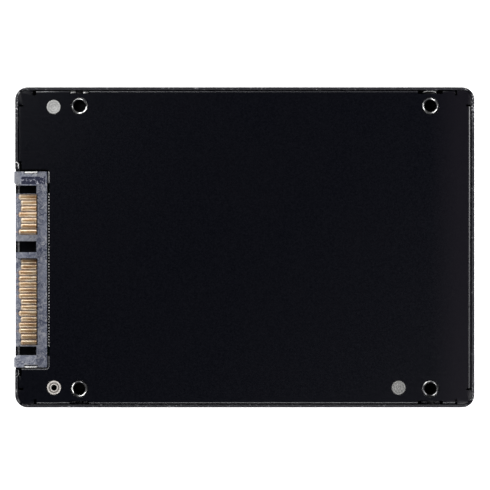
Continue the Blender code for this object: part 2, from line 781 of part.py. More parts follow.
# ---- connector -----------------------------------------------------------------------------
def contact_centres():
    """(name, y, tip x) of every contact: seven signal contacts, then fifteen power contacts."""
    rows = (
        ("signal_contact", SIGNAL_FIRST_Y, SIGNAL_COUNT, LONG_SIGNAL),
        ("power_contact", POWER_FIRST_Y, POWER_COUNT, LONG_POWER),
    )
    places = []
    for stem, first_y, count, long_ones in rows:
        for number in range(1, count + 1):
            tip = LONG_TIP_X if number in long_ones else SHORT_TIP_X
            places.append((f"{stem}_{number}", first_y - (number - 1) * PITCH, tip))
    return places


def guide_rings(inner_y, outer_y):
    """Plan rings of one guide, its front face eased at top and bottom and bevelled inside."""
    back = CAVITY_BACK_X + JOIN
    along, across = GUIDE_BEVEL
    inward = across if outer_y > inner_y else -across
    rings = []
    for z, lead in (
        (HOUSING_Z0, GUIDE_LEAD),
        (HOUSING_Z0 + GUIDE_LEAD, 0.0),
        (HOUSING_Z1 - GUIDE_LEAD, 0.0),
        (HOUSING_Z1, GUIDE_LEAD),
    ):
        front = X_FRONT + lead
        plan = [
            (back, inner_y), (front + along, inner_y), (front, inner_y + inward),
            (front, outer_y), (back, outer_y),
        ]
        rings.append([(x, y, z) for x, y in plan])
    return rings


def tongue_profile():
    nose, x_in = TONGUE_NOSE, CAVITY_BACK_X + JOIN
    return [
        (TONGUE_X, TONGUE_Z0 + nose), (TONGUE_X + nose, TONGUE_Z0), (x_in, TONGUE_Z0),
        (x_in, TONGUE_Z1), (TONGUE_X + nose, TONGUE_Z1), (TONGUE_X, TONGUE_Z1 - nose),
    ]


def guides_and_tongues():
    bm = bmesh.new()
    for inner_y, outer_y in (GUIDE_HIGH, GUIDE_LOW):
        loft(bm, guide_rings(inner_y, outer_y))
    for low, high in (SIGNAL_TONGUE, POWER_TONGUE):
        extruded_profile(bm, tongue_profile(), low, high)
    return bm


def keys_and_ears():
    """The raised key leg on each tongue, and the two ears that rest on the board."""
    bm = bmesh.new()
    x_pair = (TONGUE_X + TONGUE_NOSE, CAVITY_BACK_X + JOIN)
    z_pair = (TONGUE_Z1 - JOIN, KEY_TOP_Z)
    box(bm, x_pair, (SIGNAL_TONGUE[0], SIGNAL_TONGUE[0] + KEY_WIDTH), z_pair)
    box(bm, x_pair, (POWER_TONGUE[1] - KEY_WIDTH, POWER_TONGUE[1]), z_pair)
    for y_pair in (EAR_HIGH, EAR_LOW):
        box(bm, (HOUSING_REAR_X - JOIN, EAR_X), y_pair, (EAR_Z0, EAR_Z1))
    return bm


def comb_ribs():
    """Short ribs behind the housing, one in each space between neighbouring contact tails."""
    bm = bmesh.new()
    places = contact_centres()
    for (stem, y, _), (next_stem, next_y, _) in zip(places, places[1:]):
        if stem.split("_")[0] == next_stem.split("_")[0]:
            middle = (y + next_y) / 2
            y_pair = (middle - RIB_WIDTH / 2, middle + RIB_WIDTH / 2)
            box(bm, (HOUSING_REAR_X - JOIN, RIB_X), y_pair, (RIB_Z0, RIB_Z1))
    return bm


def contact_grooves():
    """One slot per contact: open along the tongue, a tunnel through the housing wall."""
    bm = bmesh.new()
    half = CONTACT_WIDTH / 2 + GROOVE_CLEAR
    for _, y, tip in contact_centres():
        x_pair = (tip - GROOVE_CLEAR, HOUSING_REAR_X + CUT_PAST)
        box(bm, x_pair, (y - half, y + half), (GROOVE_Z0, GROOVE_Z1))
    return bm


def lock_recesses():
    """Recesses in the guides' outer faces, open at the top over the tall part of each lock."""
    bm = bmesh.new()
    for side_y, outward in lock_sides():
        depth = LOCK_THICK + LOCK_CLEAR
        y_pair = (side_y - outward * depth, side_y + outward * CUT_PAST)
        x_pair = (LOCK_X0 - LOCK_CLEAR, LOCK_STEP_X + 2 * LOCK_CLEAR)
        box(bm, x_pair, y_pair, (LOCK_Z0 - LOCK_CLEAR, LOCK_Z1 + LOCK_CLEAR))
    return bm


def lock_slots():
    """Clearance above each lock's tall part, and through the wall for its rear leg."""
    bm = bmesh.new()
    for side_y, outward in lock_sides():
        depth = LOCK_THICK + LOCK_CLEAR
        y_pair = (side_y - outward * depth, side_y + outward * CUT_PAST)
        x_pair = (LOCK_X0 - LOCK_CLEAR, LOCK_TALL_X + LOCK_CLEAR)
        box(bm, x_pair, y_pair, (LOCK_Z1, HOUSING_Z1 + CUT_PAST))
        x_pair = (LOCK_STEP_X, HOUSING_REAR_X + CUT_PAST)
        box(bm, x_pair, y_pair, (EAR_Z0 - 2 * LOCK_CLEAR, LOCK_Z1 + LOCK_CLEAR))
    return bm


def lock_sides():
    return ((HOUSING_Y_HIGH, 1), (HOUSING_Y_LOW, -1))


def make_connector_housing():
    bm = bmesh.new()
    box(
        bm,
        (CAVITY_BACK_X, HOUSING_REAR_X),
        (HOUSING_Y_LOW, HOUSING_Y_HIGH),
        (HOUSING_Z0, HOUSING_Z1),
    )
    housing = finish_object("connector_housing", bm, moulded_plastic)
    join(housing, guides_and_tongues())
    join(housing, keys_and_ears())
    join(housing, comb_ribs())
    cut(housing, contact_grooves())
    cut(housing, lock_recesses())
    cut(housing, lock_slots())
    return smooth(housing)


def contact_stations(tip):
    """(x, low z, width, drop of the top) along a contact, from rounded tip to soldered tail."""
    dip = CONTACT_THICK / 3
    return [
        (tip, CONTACT_Z, TIP_WIDTHS[0], dip),
        (tip + TIP_REACHES[0], CONTACT_Z, TIP_WIDTHS[1], dip / 2),
        (tip + TIP_REACHES[1], CONTACT_Z, CONTACT_WIDTH, 0.0),
        (CAVITY_BACK_X + JOIN, CONTACT_Z, CONTACT_WIDTH, 0.0),
        (CAVITY_BACK_X + 2 * JOIN, CONTACT_Z, TAIL_WIDTH, 0.0),
        (TAIL_RISE_X0, CONTACT_Z, TAIL_WIDTH, 0.0),
        (TAIL_RISE_X1, TAIL_Z, TAIL_WIDTH, 0.0),
        (TAIL_END_X, TAIL_Z, TAIL_WIDTH, 0.0),
    ]


def make_contact(name, y, tip):
    bm = bmesh.new()
    rings = []
    for x, z, width, dip in contact_stations(tip):
        top = z + CONTACT_THICK - dip
        half = width / 2
        rings.append([(x, y - half, z), (x, y + half, z), (x, y + half, top), (x, y - half, top)])
    loft(bm, rings)
    return finish_object(name, bm, gold_plate)


def make_contacts():
    for name, y, tip in contact_centres():
        make_contact(name, y, tip)


def make_board_lock(name, side_y, outward):
    """A tin-plated strip: a tall blade beside the guide, a rear leg and a foot on the board."""
    outer, inner = side_y, side_y - outward * LOCK_THICK
    profile = [
        (LOCK_X0, LOCK_Z0), (LOCK_STEP_X, LOCK_Z0), (LOCK_STEP_X, EAR_Z0),
        (LOCK_END_X, EAR_Z0), (LOCK_END_X, LOCK_Z1), (LOCK_TALL_X, LOCK_Z1),
        (LOCK_TALL_X, LOCK_TOP_Z), (LOCK_X0, LOCK_TOP_Z),
    ]
    bm = bmesh.new()
    extruded_profile(bm, profile, inner, outer)
    lock = finish_object(name, bm, tin_plate)
    bm = bmesh.new()
    y_pair = (inner, outer + outward * LOCK_FOOT_REACH)
    box(bm, (LOCK_FOOT_X, LOCK_END_X), y_pair, (EAR_Z0, EAR_Z0 + LOCK_FOOT_THICK))
    join(lock, bm)
    return lock


def make_board_locks():
    names = ("board_lock_left", "board_lock_right")
    for name, (side_y, outward) in zip(names, lock_sides()):
        make_board_lock(name, side_y, outward)


# ---- parts on the board --------------------------------------------------------------------
def plan_ring(x, y, half_x, half_y, corner, z):
    bounds = (x - half_x, x + half_x, y - half_y, y + half_y)
    outline = rounded_rectangle(*bounds, corner, CHIP_ARC_STEPS)
    return [(u, v, z) for u, v in outline]


def above(side, distance):
    """Height at a distance from the board face: side 1 is the cover side, -1 the tray side."""
    return BOARD_Z1 + distance if side > 0 else BOARD_Z0 - distance


def make_chip(name, x, y, size, side):
    """A moulded package: a thin substrate with a stepped, drafted resin cap."""
    half_x, half_y = size[0] / 2, size[1] / 2
    levels = (
        (0.0, BALL_GAP),
        (0.0, BALL_GAP + CHIP_SUBSTRATE),
        (CHIP_STEP, BALL_GAP + CHIP_SUBSTRATE),
        (CHIP_DRAFT, BALL_GAP + size[2]),
    )
    rings = []
    for inset, distance in levels:
        ring_corner = max(CHIP_CORNER - inset / 2, CHIP_STEP)
        rings.append(
            plan_ring(x, y, half_x - inset, half_y - inset, ring_corner, above(side, distance))
        )
    bm = bmesh.new()
    loft(bm, rings)
    chip = finish_object(name, bm, chip_resin)
    bm = bmesh.new()
    mark_x, mark_y = x - half_x + MARK_INSET, y + half_y - MARK_INSET
    face = BALL_GAP + size[2]
    heights = (above(side, face - DIMPLE_DEPTH), above(side, face + CUT_PAST))
    profile = list(zip(MARK_RADII, heights))
    turned(bm, mark_x, mark_y, profile, SMALL_ROUND_STEPS)
    cut(chip, bm)
    return smooth(chip)


def make_flash_chips():
    number = 0
    for side in (1, -1):
        for x in FLASH_X:
            for y in FLASH_Y:
                number += 1
                make_chip(f"flash_chip_{number}", x, y, FLASH_SIZE, side)


def make_inductor(name, x, y):
    """A shielded power inductor: ferrite block with chamfered corners and drafted top edge."""
    half = INDUCTOR_SIZE[0] / 2
    edge = INDUCTOR_EDGE
    levels = ((edge, 0.0), (0.0, edge), (0.0, INDUCTOR_SIZE[2] - edge), (edge, INDUCTOR_SIZE[2]))
    rings = []
    for inset, distance in levels:
        height = above(1, SOLDER_GAP + distance)
        rings.append(plan_ring(x, y, half - inset, half - inset, INDUCTOR_CORNER - inset, height))
    bm = bmesh.new()
    loft(bm, rings)
    return smooth(finish_object(name, bm, ferrite))


def make_crystal(name, x, y):
    """A lidded crystal package: ceramic base and a thin welded lid."""
    half_x, half_y = CRYSTAL_SIZE[0] / 2, CRYSTAL_SIZE[1] / 2
    ledge = CRYSTAL_LEDGE_Z
    levels = ((0.0, 0.0), (0.0, ledge), (CHIP_STEP, ledge), (CHIP_STEP, CRYSTAL_SIZE[2]))
    rings = []
    for inset, distance in levels:
        height = above(1, SOLDER_GAP + distance)
        rings.append(plan_ring(x, y, half_x - inset, half_y - inset, CHIP_DRAFT - inset / 2, height))
    bm = bmesh.new()
    loft(bm, rings)
    return smooth(finish_object(name, bm, tin_plate))


def make_hold_up_capacitor(name, x, y):
    """A moulded tantalum capacitor with a waist line, and a terminal folded under each end."""
    half_x, half_y = HOLD_UP_SIZE[0] / 2, HOLD_UP_SIZE[1] / 2
    draft, lift = HOLD_UP_DRAFT, HOLD_UP_LIFT
    levels = ((draft, lift), (0.0, HOLD_UP_SIZE[2] / 2), (draft, HOLD_UP_SIZE[2]))
    rings = []
    for inset, distance in levels:
        height = above(1, SOLDER_GAP + distance)
        rings.append(plan_ring(x, y, half_x - inset, half_y - inset, CHIP_STEP, height))
    bm = bmesh.new()
    loft(bm, rings)
    body = finish_object(name, bm, tantalum_case)
    bm = bmesh.new()
    for end in (-1, 1):
        x_pair = (x + end * (half_x - TERMINAL_LENGTH), x + end * (half_x + lift))
        y_pair = (y - TERMINAL_HALF_WIDTH, y + TERMINAL_HALF_WIDTH)
        box(bm, x_pair, y_pair, (above(1, SOLDER_GAP), above(1, SOLDER_GAP + TERMINAL_RISE)))
    join(body, bm)
    return smooth(body)


def make_board_parts():
    make_chip("controller_chip", *CONTROLLER_AT, CONTROLLER_SIZE, 1)
    make_chip("dram_chip", *DRAM_AT, DRAM_SIZE, 1)
    make_chip("power_management_chip", *POWER_CHIP_AT, POWER_CHIP_SIZE, 1)
    make_inductor("power_inductor", *INDUCTOR_AT)
    make_crystal("clock_crystal", *CRYSTAL_AT)
    make_flash_chips()
    for i in range(HOLD_UP_COUNT):
        y = (i - (HOLD_UP_COUNT - 1) / 2) * HOLD_UP_STEP_Y
        make_hold_up_capacitor(f"hold_up_capacitor_{i + 1}", HOLD_UP_X, y)


def make_pad(name, x, y, half_x, half_y, z_pair):
    edge = PAD_EDGE
    low, high = z_pair
    bm = bmesh.new()
    rings = []
    for inset, z in ((edge, low), (0.0, low + edge), (0.0, high - edge), (edge, high)):
        rings.append(plan_ring(x, y, half_x - inset, half_y - inset, PAD_CORNER - inset, z))
    loft(bm, rings)
    return smooth(finish_object(name, bm, thermal_gel))


def make_thermal_pads():
    """Soft pads that carry heat from the controller and the flash rows into the cover."""
    top = SHEET_Z - PAD_GAP
    low = above(1, BALL_GAP + CONTROLLER_SIZE[2] + PAD_GAP)
    half = CONTROLLER_SIZE[0] / 2 - PAD_MARGIN
    make_pad("thermal_pad_controller", *CONTROLLER_AT, half, half, (low, top))
    low = above(1, BALL_GAP + FLASH_SIZE[2] + PAD_GAP)
    centre_x = sum(FLASH_X) / 2
    half_x = (FLASH_X[1] - FLASH_X[0] + FLASH_SIZE[0]) / 2 - PAD_MARGIN
    half_y = FLASH_SIZE[1] / 2 - PAD_MARGIN
    for name, y in zip(("thermal_pad_flash_1", "thermal_pad_flash_2"), FLASH_Y):
        make_pad(name, centre_x, y, half_x, half_y, (low, top))


def make_product_label():
    half_x, half_y = (size / 2 for size in LABEL_SIZE)
    bm = bmesh.new()
    outline = rounded_rectangle(-half_x, half_x, -half_y, half_y, CORNER_RADIUS, ARC_STEPS)
    slab(bm, outline, LABEL_RECESS - LABEL_GAP - LABEL_THICK, LABEL_RECESS - LABEL_GAP)
    return smooth(finish_object("product_label", bm, label_film))


def main():
    clear_scene()
    make_top_cover()
    make_bottom_cover()
    make_mount_blocks()
    make_rivets()
    make_circuit_board()
    make_connector_housing()
    make_contacts()
    make_board_locks()
    make_board_parts()
    make_thermal_pads()
    make_product_label()


main()
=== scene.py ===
"""Looks for a 2.5-inch solid state drive that lies on its label face, underside up.

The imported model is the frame.  Visible nodes are replaced by finer pieces in the same place:
folded sheet edges, turned rivets, threaded collars, a moulded connector and rounded contacts.
"""

import math

import bmesh
import bpy
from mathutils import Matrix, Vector


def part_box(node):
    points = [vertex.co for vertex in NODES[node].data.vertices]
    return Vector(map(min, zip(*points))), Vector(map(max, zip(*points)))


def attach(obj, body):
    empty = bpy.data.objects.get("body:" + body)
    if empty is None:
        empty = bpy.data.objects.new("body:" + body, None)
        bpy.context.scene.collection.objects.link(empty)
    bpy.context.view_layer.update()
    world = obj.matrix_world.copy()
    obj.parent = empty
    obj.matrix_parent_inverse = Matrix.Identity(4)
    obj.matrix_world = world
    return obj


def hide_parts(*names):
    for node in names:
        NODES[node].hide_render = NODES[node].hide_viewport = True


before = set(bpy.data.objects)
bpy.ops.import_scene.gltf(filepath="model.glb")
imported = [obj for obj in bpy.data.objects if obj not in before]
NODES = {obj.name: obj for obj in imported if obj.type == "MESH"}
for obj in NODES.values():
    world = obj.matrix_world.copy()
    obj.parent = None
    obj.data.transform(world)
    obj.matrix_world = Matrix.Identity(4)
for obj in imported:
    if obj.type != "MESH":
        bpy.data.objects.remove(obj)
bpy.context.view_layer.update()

MM = 0.001
ROOT = "root"


def centre_of(node):
    low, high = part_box(node)
    return (low + high) / 2


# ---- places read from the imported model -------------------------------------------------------
TRAY_LOW, TRAY_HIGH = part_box("top_cover")
COVER_LOW, COVER_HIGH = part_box("bottom_cover")
X_CASE, X_END = TRAY_LOW.x, TRAY_HIGH.x
HALF_WIDTH = TRAY_HIGH.y
TRAY_RIM_Z = TRAY_HIGH.z
COVER_TOP = COVER_HIGH.z
FLANGE_FOOT_Z = COVER_LOW.z
HOUSING_LOW, HOUSING_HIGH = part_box("connector_housing")
X_FRONT = HOUSING_LOW.x
BLOCK_NAMES = [f"mount_block_{end}_{hand}" for end in ("front", "rear") for hand in ("left", "right")]
HOLE_X = (centre_of(BLOCK_NAMES[0]).x, centre_of(BLOCK_NAMES[2]).x)
RIVETS = {name: centre_of(name) for name in ("rivet_front_left", "rivet_front_right", "rivet_rear_right")}
RIVET_TOP_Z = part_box("rivet_front_left")[1].z
BOARD_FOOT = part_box("circuit_board")[0].z

# ---- sheet metal -----------------------------------------------------------------------------
CORNER_RADIUS = 2.7 * MM
ARC_STEPS = 12
WALL = 0.6 * MM
FLOOR = 0.7 * MM
RIM_ROUND = 0.05 * MM
FOOT_ROUND = 0.8 * MM
INNER_ROUND = 0.4 * MM
FRONT_LIP_Z = 1.2 * MM
LIP_EDGE_X = (X_CASE + 0.52 * MM, X_CASE + 0.9 * MM)
LIP_EDGE_RISE = 0.15 * MM
LABEL_RECESS = 0.15 * MM
LABEL_HALF = (44.0 * MM, 30.0 * MM)
LABEL_CLEAR = 0.12 * MM
LABEL_INSET = 3.0 * MM
PRINT_THICK = 0.008 * MM
PRINT_CORNER = 1.0 * MM
BAND_DEPTH = 16.0 * MM
FIELD_TOP = 10.0 * MM
FIELD_PITCH = 27.6 * MM
FIELD_WIDTH = 26.0 * MM
SHEET = 0.5 * MM
SHEET_Z = COVER_TOP - SHEET
FLANGE_INSET = 0.8 * MM
FOLD_RADIUS = 0.36 * MM
END_FOLD_RADIUS = 0.52 * MM
FOLD_STEPS = 9
FLANGE_OVERLAP = 0.3 * MM
PLATE_INSET = 1.45 * MM
TAB_INSET = 0.7 * MM
SLIT = (3.775 * MM, 4.225 * MM)
FRONT_SLITS = {(-1, 1): (3.8 * MM, 4.6 * MM), (-1, -1): (4.1 * MM, 4.68 * MM)}
SLIT_DEPTH = 1.8 * MM
NOTCH_DEPTH = 7.5 * MM
NOTCH_Y_HIGH = 17.0 * MM
NOTCH_Y_LOW = -26.7 * MM
NOTCH_ROUND = 0.8 * MM
NOTCH_EDGE_SLOPE = 0.24 * MM
NOTCH_EDGE_HIGH = (NOTCH_Y_HIGH - 0.45 * MM, 14.1 * MM)
NOTCH_EDGE_LOW = -23.7 * MM
NOTCH_EDGE_END_X = X_CASE + 1.4 * MM
NOTCH_EDGE_SINK = 0.03 * MM
NOTCH_EDGE_FLAT = 0.12 * MM
FRONT_FLANGE_GAP_HIGH = 18.8 * MM
FRONT_FLANGE_GAP_LOW = -28.1 * MM
WINDOW_HALF = (2.2 * MM, 2.75 * MM)
COLLAR_HOLE_RADIUS = 1.95 * MM
RIVET_HOLE_RADII = (1.35 * MM, 1.65 * MM)
EDGE_BEVEL = 0.055 * MM
SIDE_OPENING_RADIUS = 2.1 * MM
POST_RADIUS = 2.5 * MM
POST_GAP = 0.04 * MM
WALL_END_RUN = 1.75 * MM
WALL_END_DROP = 1.6 * MM
WALL_END_BEND = 0.66 * MM
WALL_END_STEPS = 8
WALL_END_INSET = 0.08 * MM
# Parts of the run: where the bend starts, how far it goes, then the tail with its step inwards.
WALL_END_TURN = (0.9, 0.42)
WALL_END_TAIL = ((0.3, 0.03 * MM), (0.06, 0.0))
# Per stroke: start, run, bead radius and look; the looks paint glints, white above and grey below.
WALL_END_STROKES = (
    (NOTCH_Y_HIGH, WALL_END_RUN, 0.12 * MM, "sheared_edge_painted_white_glint"),
    (NOTCH_Y_LOW, -WALL_END_RUN, 0.07 * MM, "sheared_edge_painted_highlight"),
)

# ---- mounting blocks and rivets --------------------------------------------------------------
HOLE_Y = 30.86 * MM
SIDE_HOLE_Z = 4.0 * MM
MINOR_RADIUS = 1.25 * MM
MAJOR_RADIUS = 1.47 * MM
THREAD_PITCH = 0.5 * MM
COLLAR_RADIUS = 1.82 * MM
COLLAR_TOP_Z = 6.95 * MM
CHAMFER = 0.26 * MM
CHAMFER_FOOT = 1.3 * MM
MOUTH_TILTS = (60.0, 8.0)
MOUTH_RADIUS = 1.78 * MM
SIDE_COLLAR_RADIUS = 2.0 * MM
SIDE_MOUTH = HALF_WIDTH - 0.05 * MM
BLOCK_TOP_Z = 6.45 * MM
BLOCK_OUTER_Y = 33.3 * MM
BLOCK_INNER_Y = 27.4 * MM
BLOCK_HALF = 3.0 * MM
BLOCK_CORNER = 0.4 * MM
THREAD_FOOT_Z = 2.0 * MM
PAD_SPANS = ((-2.05 * MM, -0.8 * MM), (0.8 * MM, 2.05 * MM))
PAD_INSETS = (0.78 * MM, 1.3 * MM)
LIP_SPAN = ((-1.55 * MM, 1.25 * MM),)
LIP_INSET = 0.98 * MM
LIP_BOW = 0.3 * MM
LIP_THICK = 0.22 * MM
SHOULDER_FOOT_Z = 5.0 * MM
SHOULDER_Z = 6.35 * MM
SHOULDER_CROWN = 0.12 * MM
SHOULDER_SLOPE = (0.1 * MM, 0.3 * MM)
SHOULDER_BEVEL = 0.08 * MM
# Painted glints on the front-left pads and the rear-left lip; other blocks keep the dark rim coat.
SHOULDER_LOOKS = {"mount_block_front_left": "sheared_edge_painted_highlight", "mount_block_rear_left": "sheared_edge_painted_white_glint"}
RIVET_LOOKS = {
    "rivet_front_left": "rivet_pale", "rivet_front_right": "rivet_ring", "rivet_rear_right": "rivet_dull",
}
RIVET_SHANK = (0.92 * MM, 1.15 * MM)
RIVET_EYE_RADIUS = 0.58 * MM
RIVET_EYE_DEPTH = 2.2 * MM
RIVET_STEP = 0.05 * MM
RIVET_GROOVE = (0.84 * MM, 1.2 * MM)
HOLLOW_SHIFT = Vector((0.09 * MM, 0.0, 0.0))
# Head profiles from the rim inwards: radius in millimetres, depth in steps below the top.
RIVET_RIM = ((1.52, 2), (1.48, 0.4), (1.4, 0))
RIVET_FLAT = RIVET_RIM + ((1.3, 0.3), (0.4, 0.3), (0.14, 1.4))
RIVET_HOLLOW = RIVET_RIM + ((1.18, 0), (1.1, 3), (0.95, 3), (0.82, 1), (0.66, 1), (0.58, 3))

# ---- connector -------------------------------------------------------------------------------
CAVITY_BACK_X = X_CASE + 4.65 * MM
HOUSING_REAR_X = X_CASE + 6.96 * MM
HOUSING_TOP = HOUSING_HIGH.z
HOUSING_FOOT = HOUSING_LOW.z
HOUSING_Y = (HOUSING_LOW.y + 0.28 * MM, HOUSING_HIGH.y - 0.14 * MM)
GUIDE_HIGH = (13.5 * MM, HOUSING_Y[1])
GUIDE_LOW = (-23.58 * MM, HOUSING_Y[0])
HOUSING_SIDES = ((HOUSING_Y[1], 1), (HOUSING_Y[0], -1))
GUIDE_LEAD = 0.35 * MM
GUIDE_BEVEL = (0.6 * MM, 0.5 * MM)
GUIDE_NOSE = ((0.9 * MM, 0.0), (0.5 * MM, 0.2 * MM), (0.22 * MM, 0.6 * MM), (0.0, 1.25 * MM))
TONGUE_X = X_CASE + 0.12 * MM
TONGUE_Z0 = 2.6 * MM
TONGUE_Z1 = 3.83 * MM
TONGUE_NOSE = 0.3 * MM
SIGNAL_TONGUE = (1.335 * MM, 11.745 * MM)
POWER_TONGUE = (-21.645 * MM, -1.075 * MM)
KEY_WIDTH = 1.27 * MM
KEY_TOP_Z = 5.0 * MM
JOIN = 0.25 * MM
EAR_X = X_CASE + 10.0 * MM
EARS = ((14.0 * MM, 16.3 * MM), (-26.12 * MM, -23.7 * MM))
EAR_Z = (3.98 * MM, 5.8 * MM)
GROOVE_CLEAR = 0.05 * MM
GROOVE_Z = (3.73 * MM, 4.2 * MM)
CONTACT_WIDTH = 0.92 * MM
CONTACT_THICK = 0.15 * MM
CONTACT_RISE = 0.3 * MM
# Half section of a contact: parts of its half width and of its height, from the skirt up.
CONTACT_SKIRT = 1.28
CONTACT_SHOULDER = (
    (CONTACT_SKIRT, 0.2), (1.05, 0.22), (1.0, 0.28), (0.93, 0.54), (0.78, 0.79), (0.6, 0.95), (0.45, 1.0),
)
GROOVE_HALF = CONTACT_SKIRT * CONTACT_WIDTH / 2 + GROOVE_CLEAR / 4
TIP_LENGTH = 0.4 * MM
TIP_ANGLES = (12, 30, 50, 70, 90)
TAIL_WIDTH = 0.44 * MM
TAIL_BEND_X = (X_CASE + 6.0 * MM, X_CASE + 6.6 * MM)
STUB_HALF = 0.16 * MM
STUB_LIFT = 0.03 * MM
STUB_GAPS = (0.12 * MM, 0.06 * MM)
STUB_DROPS = (0.12 * MM, 0.3 * MM)
COMB_X = (X_CASE + 7.24 * MM, X_CASE + 7.56 * MM)
COMB_FOOT_Z = 4.3 * MM
COMB_TOP_Z = HOUSING_TOP - 0.25 * MM
COMB_DARK_Z = HOUSING_TOP - 0.4 * MM
COMB_BAR_X = (COMB_X[1] - 0.12 * MM, COMB_X[1] - 0.01 * MM)
COMB_BAR_Z = (4.5 * MM, HOUSING_TOP - 0.45 * MM)
TOOTH_HALF = 0.17 * MM
# How far a tooth has narrowed at each height.
TOOTH_LEVELS = (
    (COMB_FOOT_Z, 0.0), (COMB_TOP_Z - 0.12 * MM, 0.0),
    (COMB_TOP_Z - 0.04 * MM, 0.04 * MM), (COMB_TOP_Z, 0.1 * MM),
)
LONG_TIP_X = X_CASE + 0.77 * MM
PITCH = 1.27 * MM
LOCK_X = (X_CASE + 2.05 * MM, X_CASE + 4.85 * MM, X_CASE + 6.6 * MM)
WALL_NOTCH = 0.25 * MM
PATCH_DEPTH = 0.05 * MM
PATCH_X = (X_CASE + 1.35 * MM, X_CASE + 6.55 * MM)
PATCH_Y = (13.75 * MM, 15.42 * MM)
LOCK_THICK = {1: 0.37 * MM, -1: 0.259 * MM}
LOCK_EASE = 0.15 * MM
LOCK_FOOT_X = X_CASE + 7.6 * MM
LOCK_FOOT_THICK = 0.25 * MM
LOCK_SLANT = 0.24 * MM
LOCK_LIFT = 0.2 * MM
LOCK_DEPTH = 0.46 * MM
LOCK_CLEAR = 0.06 * MM
POCKET_EASE = 0.26 * MM
LOCK_Z = (2.4 * MM, 4.8 * MM)
LOCK_BEVEL = 0.04 * MM
# Where the eased pocket edges take the lighter look as painted highlight.
POCKET_SHADE_X = (X_CASE + 1.9 * MM, CAVITY_BACK_X + 0.4 * MM)
HOUSING_BEVEL = 0.1 * MM

CUT_PAST = 0.5 * MM
RIVET_RING_SCALE = 600.0
SHEEN_REACH = 12.0 * MM
SHARP = math.radians(32)


# ---- node materials --------------------------------------------------------------------------
class Shader:
    """A Principled material with object coordinates and short helpers for its node tree."""

    def __init__(self, name, colour, roughness, metallic=0.0, specular=0.5):
        self.material = bpy.data.materials.new(name)
        self.material.use_nodes = True
        self.tree = self.material.node_tree
        self.surface = self.tree.nodes["Principled BSDF"]
        self.set("Base Color", (*colour, 1.0))
        self.set("Roughness", roughness)
        self.set("Metallic", metallic)
        self.set("Specular IOR Level", specular)
        self.place = self.node("ShaderNodeTexCoord").outputs["Object"]

    def set(self, socket, value):
        self.surface.inputs[socket].default_value = value

    def node(self, kind):
        return self.tree.nodes.new(kind)

    def link(self, output, target):
        self.tree.links.new(output, target)

    def feed(self, output, socket):
        self.link(output, self.surface.inputs[socket])

    def stretched(self, scale):
        mapping = self.node("ShaderNodeMapping")
        mapping.inputs["Scale"].default_value = scale
        self.link(self.place, mapping.inputs["Vector"])
        return mapping.outputs["Vector"]

    def across(self, axis, low, high):
        """Position along one axis as a factor that runs from 0 at low to 1 at high."""
        split = self.node("ShaderNodeSeparateXYZ")
        self.link(self.place, split.inputs["Vector"])
        span = self.node("ShaderNodeMapRange")
        span.inputs["From Min"].default_value = low
        span.inputs["From Max"].default_value = high
        self.link(split.outputs[axis], span.inputs["Value"])
        return span.outputs["Result"]

    def noise(self, size, detail=3.0, rough=0.55, vector=None, distortion=0.0):
        """Noise whose features are about size metres across; returns its factor."""
        noise = self.node("ShaderNodeTexNoise")
        noise.inputs["Scale"].default_value = 1.0 / size
        noise.inputs["Detail"].default_value = detail
        noise.inputs["Roughness"].default_value = rough
        noise.inputs["Distortion"].default_value = distortion
        self.link(vector or self.place, noise.inputs["Vector"])
        return noise.outputs["Fac"]

    def ramp(self, factor, stops):
        """Colours or greys by position; stops are (position, colour) pairs."""
        ramp = self.node("ShaderNodeValToRGB")
        elements = ramp.color_ramp.elements
        while len(elements) < len(stops):
            elements.new(0.5)
        for element, (position, colour) in zip(elements, stops):
            element.position = position
            if isinstance(colour, float):
                colour = (colour, colour, colour)
            element.color = (*colour, 1.0)
        self.link(factor, ramp.inputs["Fac"])
        return ramp.outputs["Color"]

    def mix(self, factor, first, second, mode="MIX"):
        mix = self.node("ShaderNodeMix")
        mix.data_type = "RGBA"
        mix.blend_type = mode
        for socket, value in ((mix.inputs[0], factor), (mix.inputs[6], first), (mix.inputs[7], second)):
            if isinstance(value, float):
                socket.default_value = value
            elif isinstance(value, tuple):
                socket.default_value = (*value, 1.0)
            else:
                self.link(value, socket)
        return mix.outputs[2]

    def bump(self, height, depth, strength=1.0, before=None):
        bump = self.node("ShaderNodeBump")
        bump.inputs["Strength"].default_value = strength
        bump.inputs["Distance"].default_value = depth
        self.link(height, bump.inputs["Height"])
        if before is not None:
            self.link(before, bump.inputs["Normal"])
        self.link(bump.outputs["Normal"], self.surface.inputs["Normal"])
        return bump.outputs["Normal"]

    def follow(self, factor, colours, roughness, depth, strength=0.6):
        """Let colour, roughness and bump all follow one texture; returns the material."""
        self.feed(self.ramp(factor, colours), "Base Color")
        self.feed(self.ramp(factor, roughness), "Roughness")
        self.bump(factor, depth, strength)
        return self.material


def powder_coat():
    """Black satin powder coat: fine grain, soft orange peel, faint clouding, and a painted sheen lightening
    the closed end.
    """
    m = Shader("powder_coat", (0.002, 0.002, 0.0032), 0.32, specular=0.3)
    grain = m.noise(0.34 * MM, 4.0, 0.65)
    cloud = m.ramp(m.noise(14 * MM, 2.0), ((0.35, 0.0), (0.7, 0.35)))
    dark = m.ramp(grain, ((0.3, (0.0001, 0.0003, 0.0016)), (0.75, (0.0018, 0.0021, 0.0046))))
    # Painted sheen: the colour turns lighter over the last stretch towards the closed end.
    painted_sheen = m.ramp(m.across("X", X_END - SHEEN_REACH, X_END), ((0.2, 0.0), (0.7, 1.0)))
    clouded = m.mix(cloud, dark, (0.0018, 0.0018, 0.0034))
    m.feed(m.mix(painted_sheen, clouded, (0.0042, 0.0036, 0.006)), "Base Color")
    m.feed(m.ramp(grain, ((0.25, 0.27), (0.8, 0.36))), "Roughness")
    peel = m.bump(m.noise(0.9 * MM, 2.0), 0.008 * MM, 0.5)
    m.bump(grain, 0.009 * MM, 0.5, peel)
    return m.material


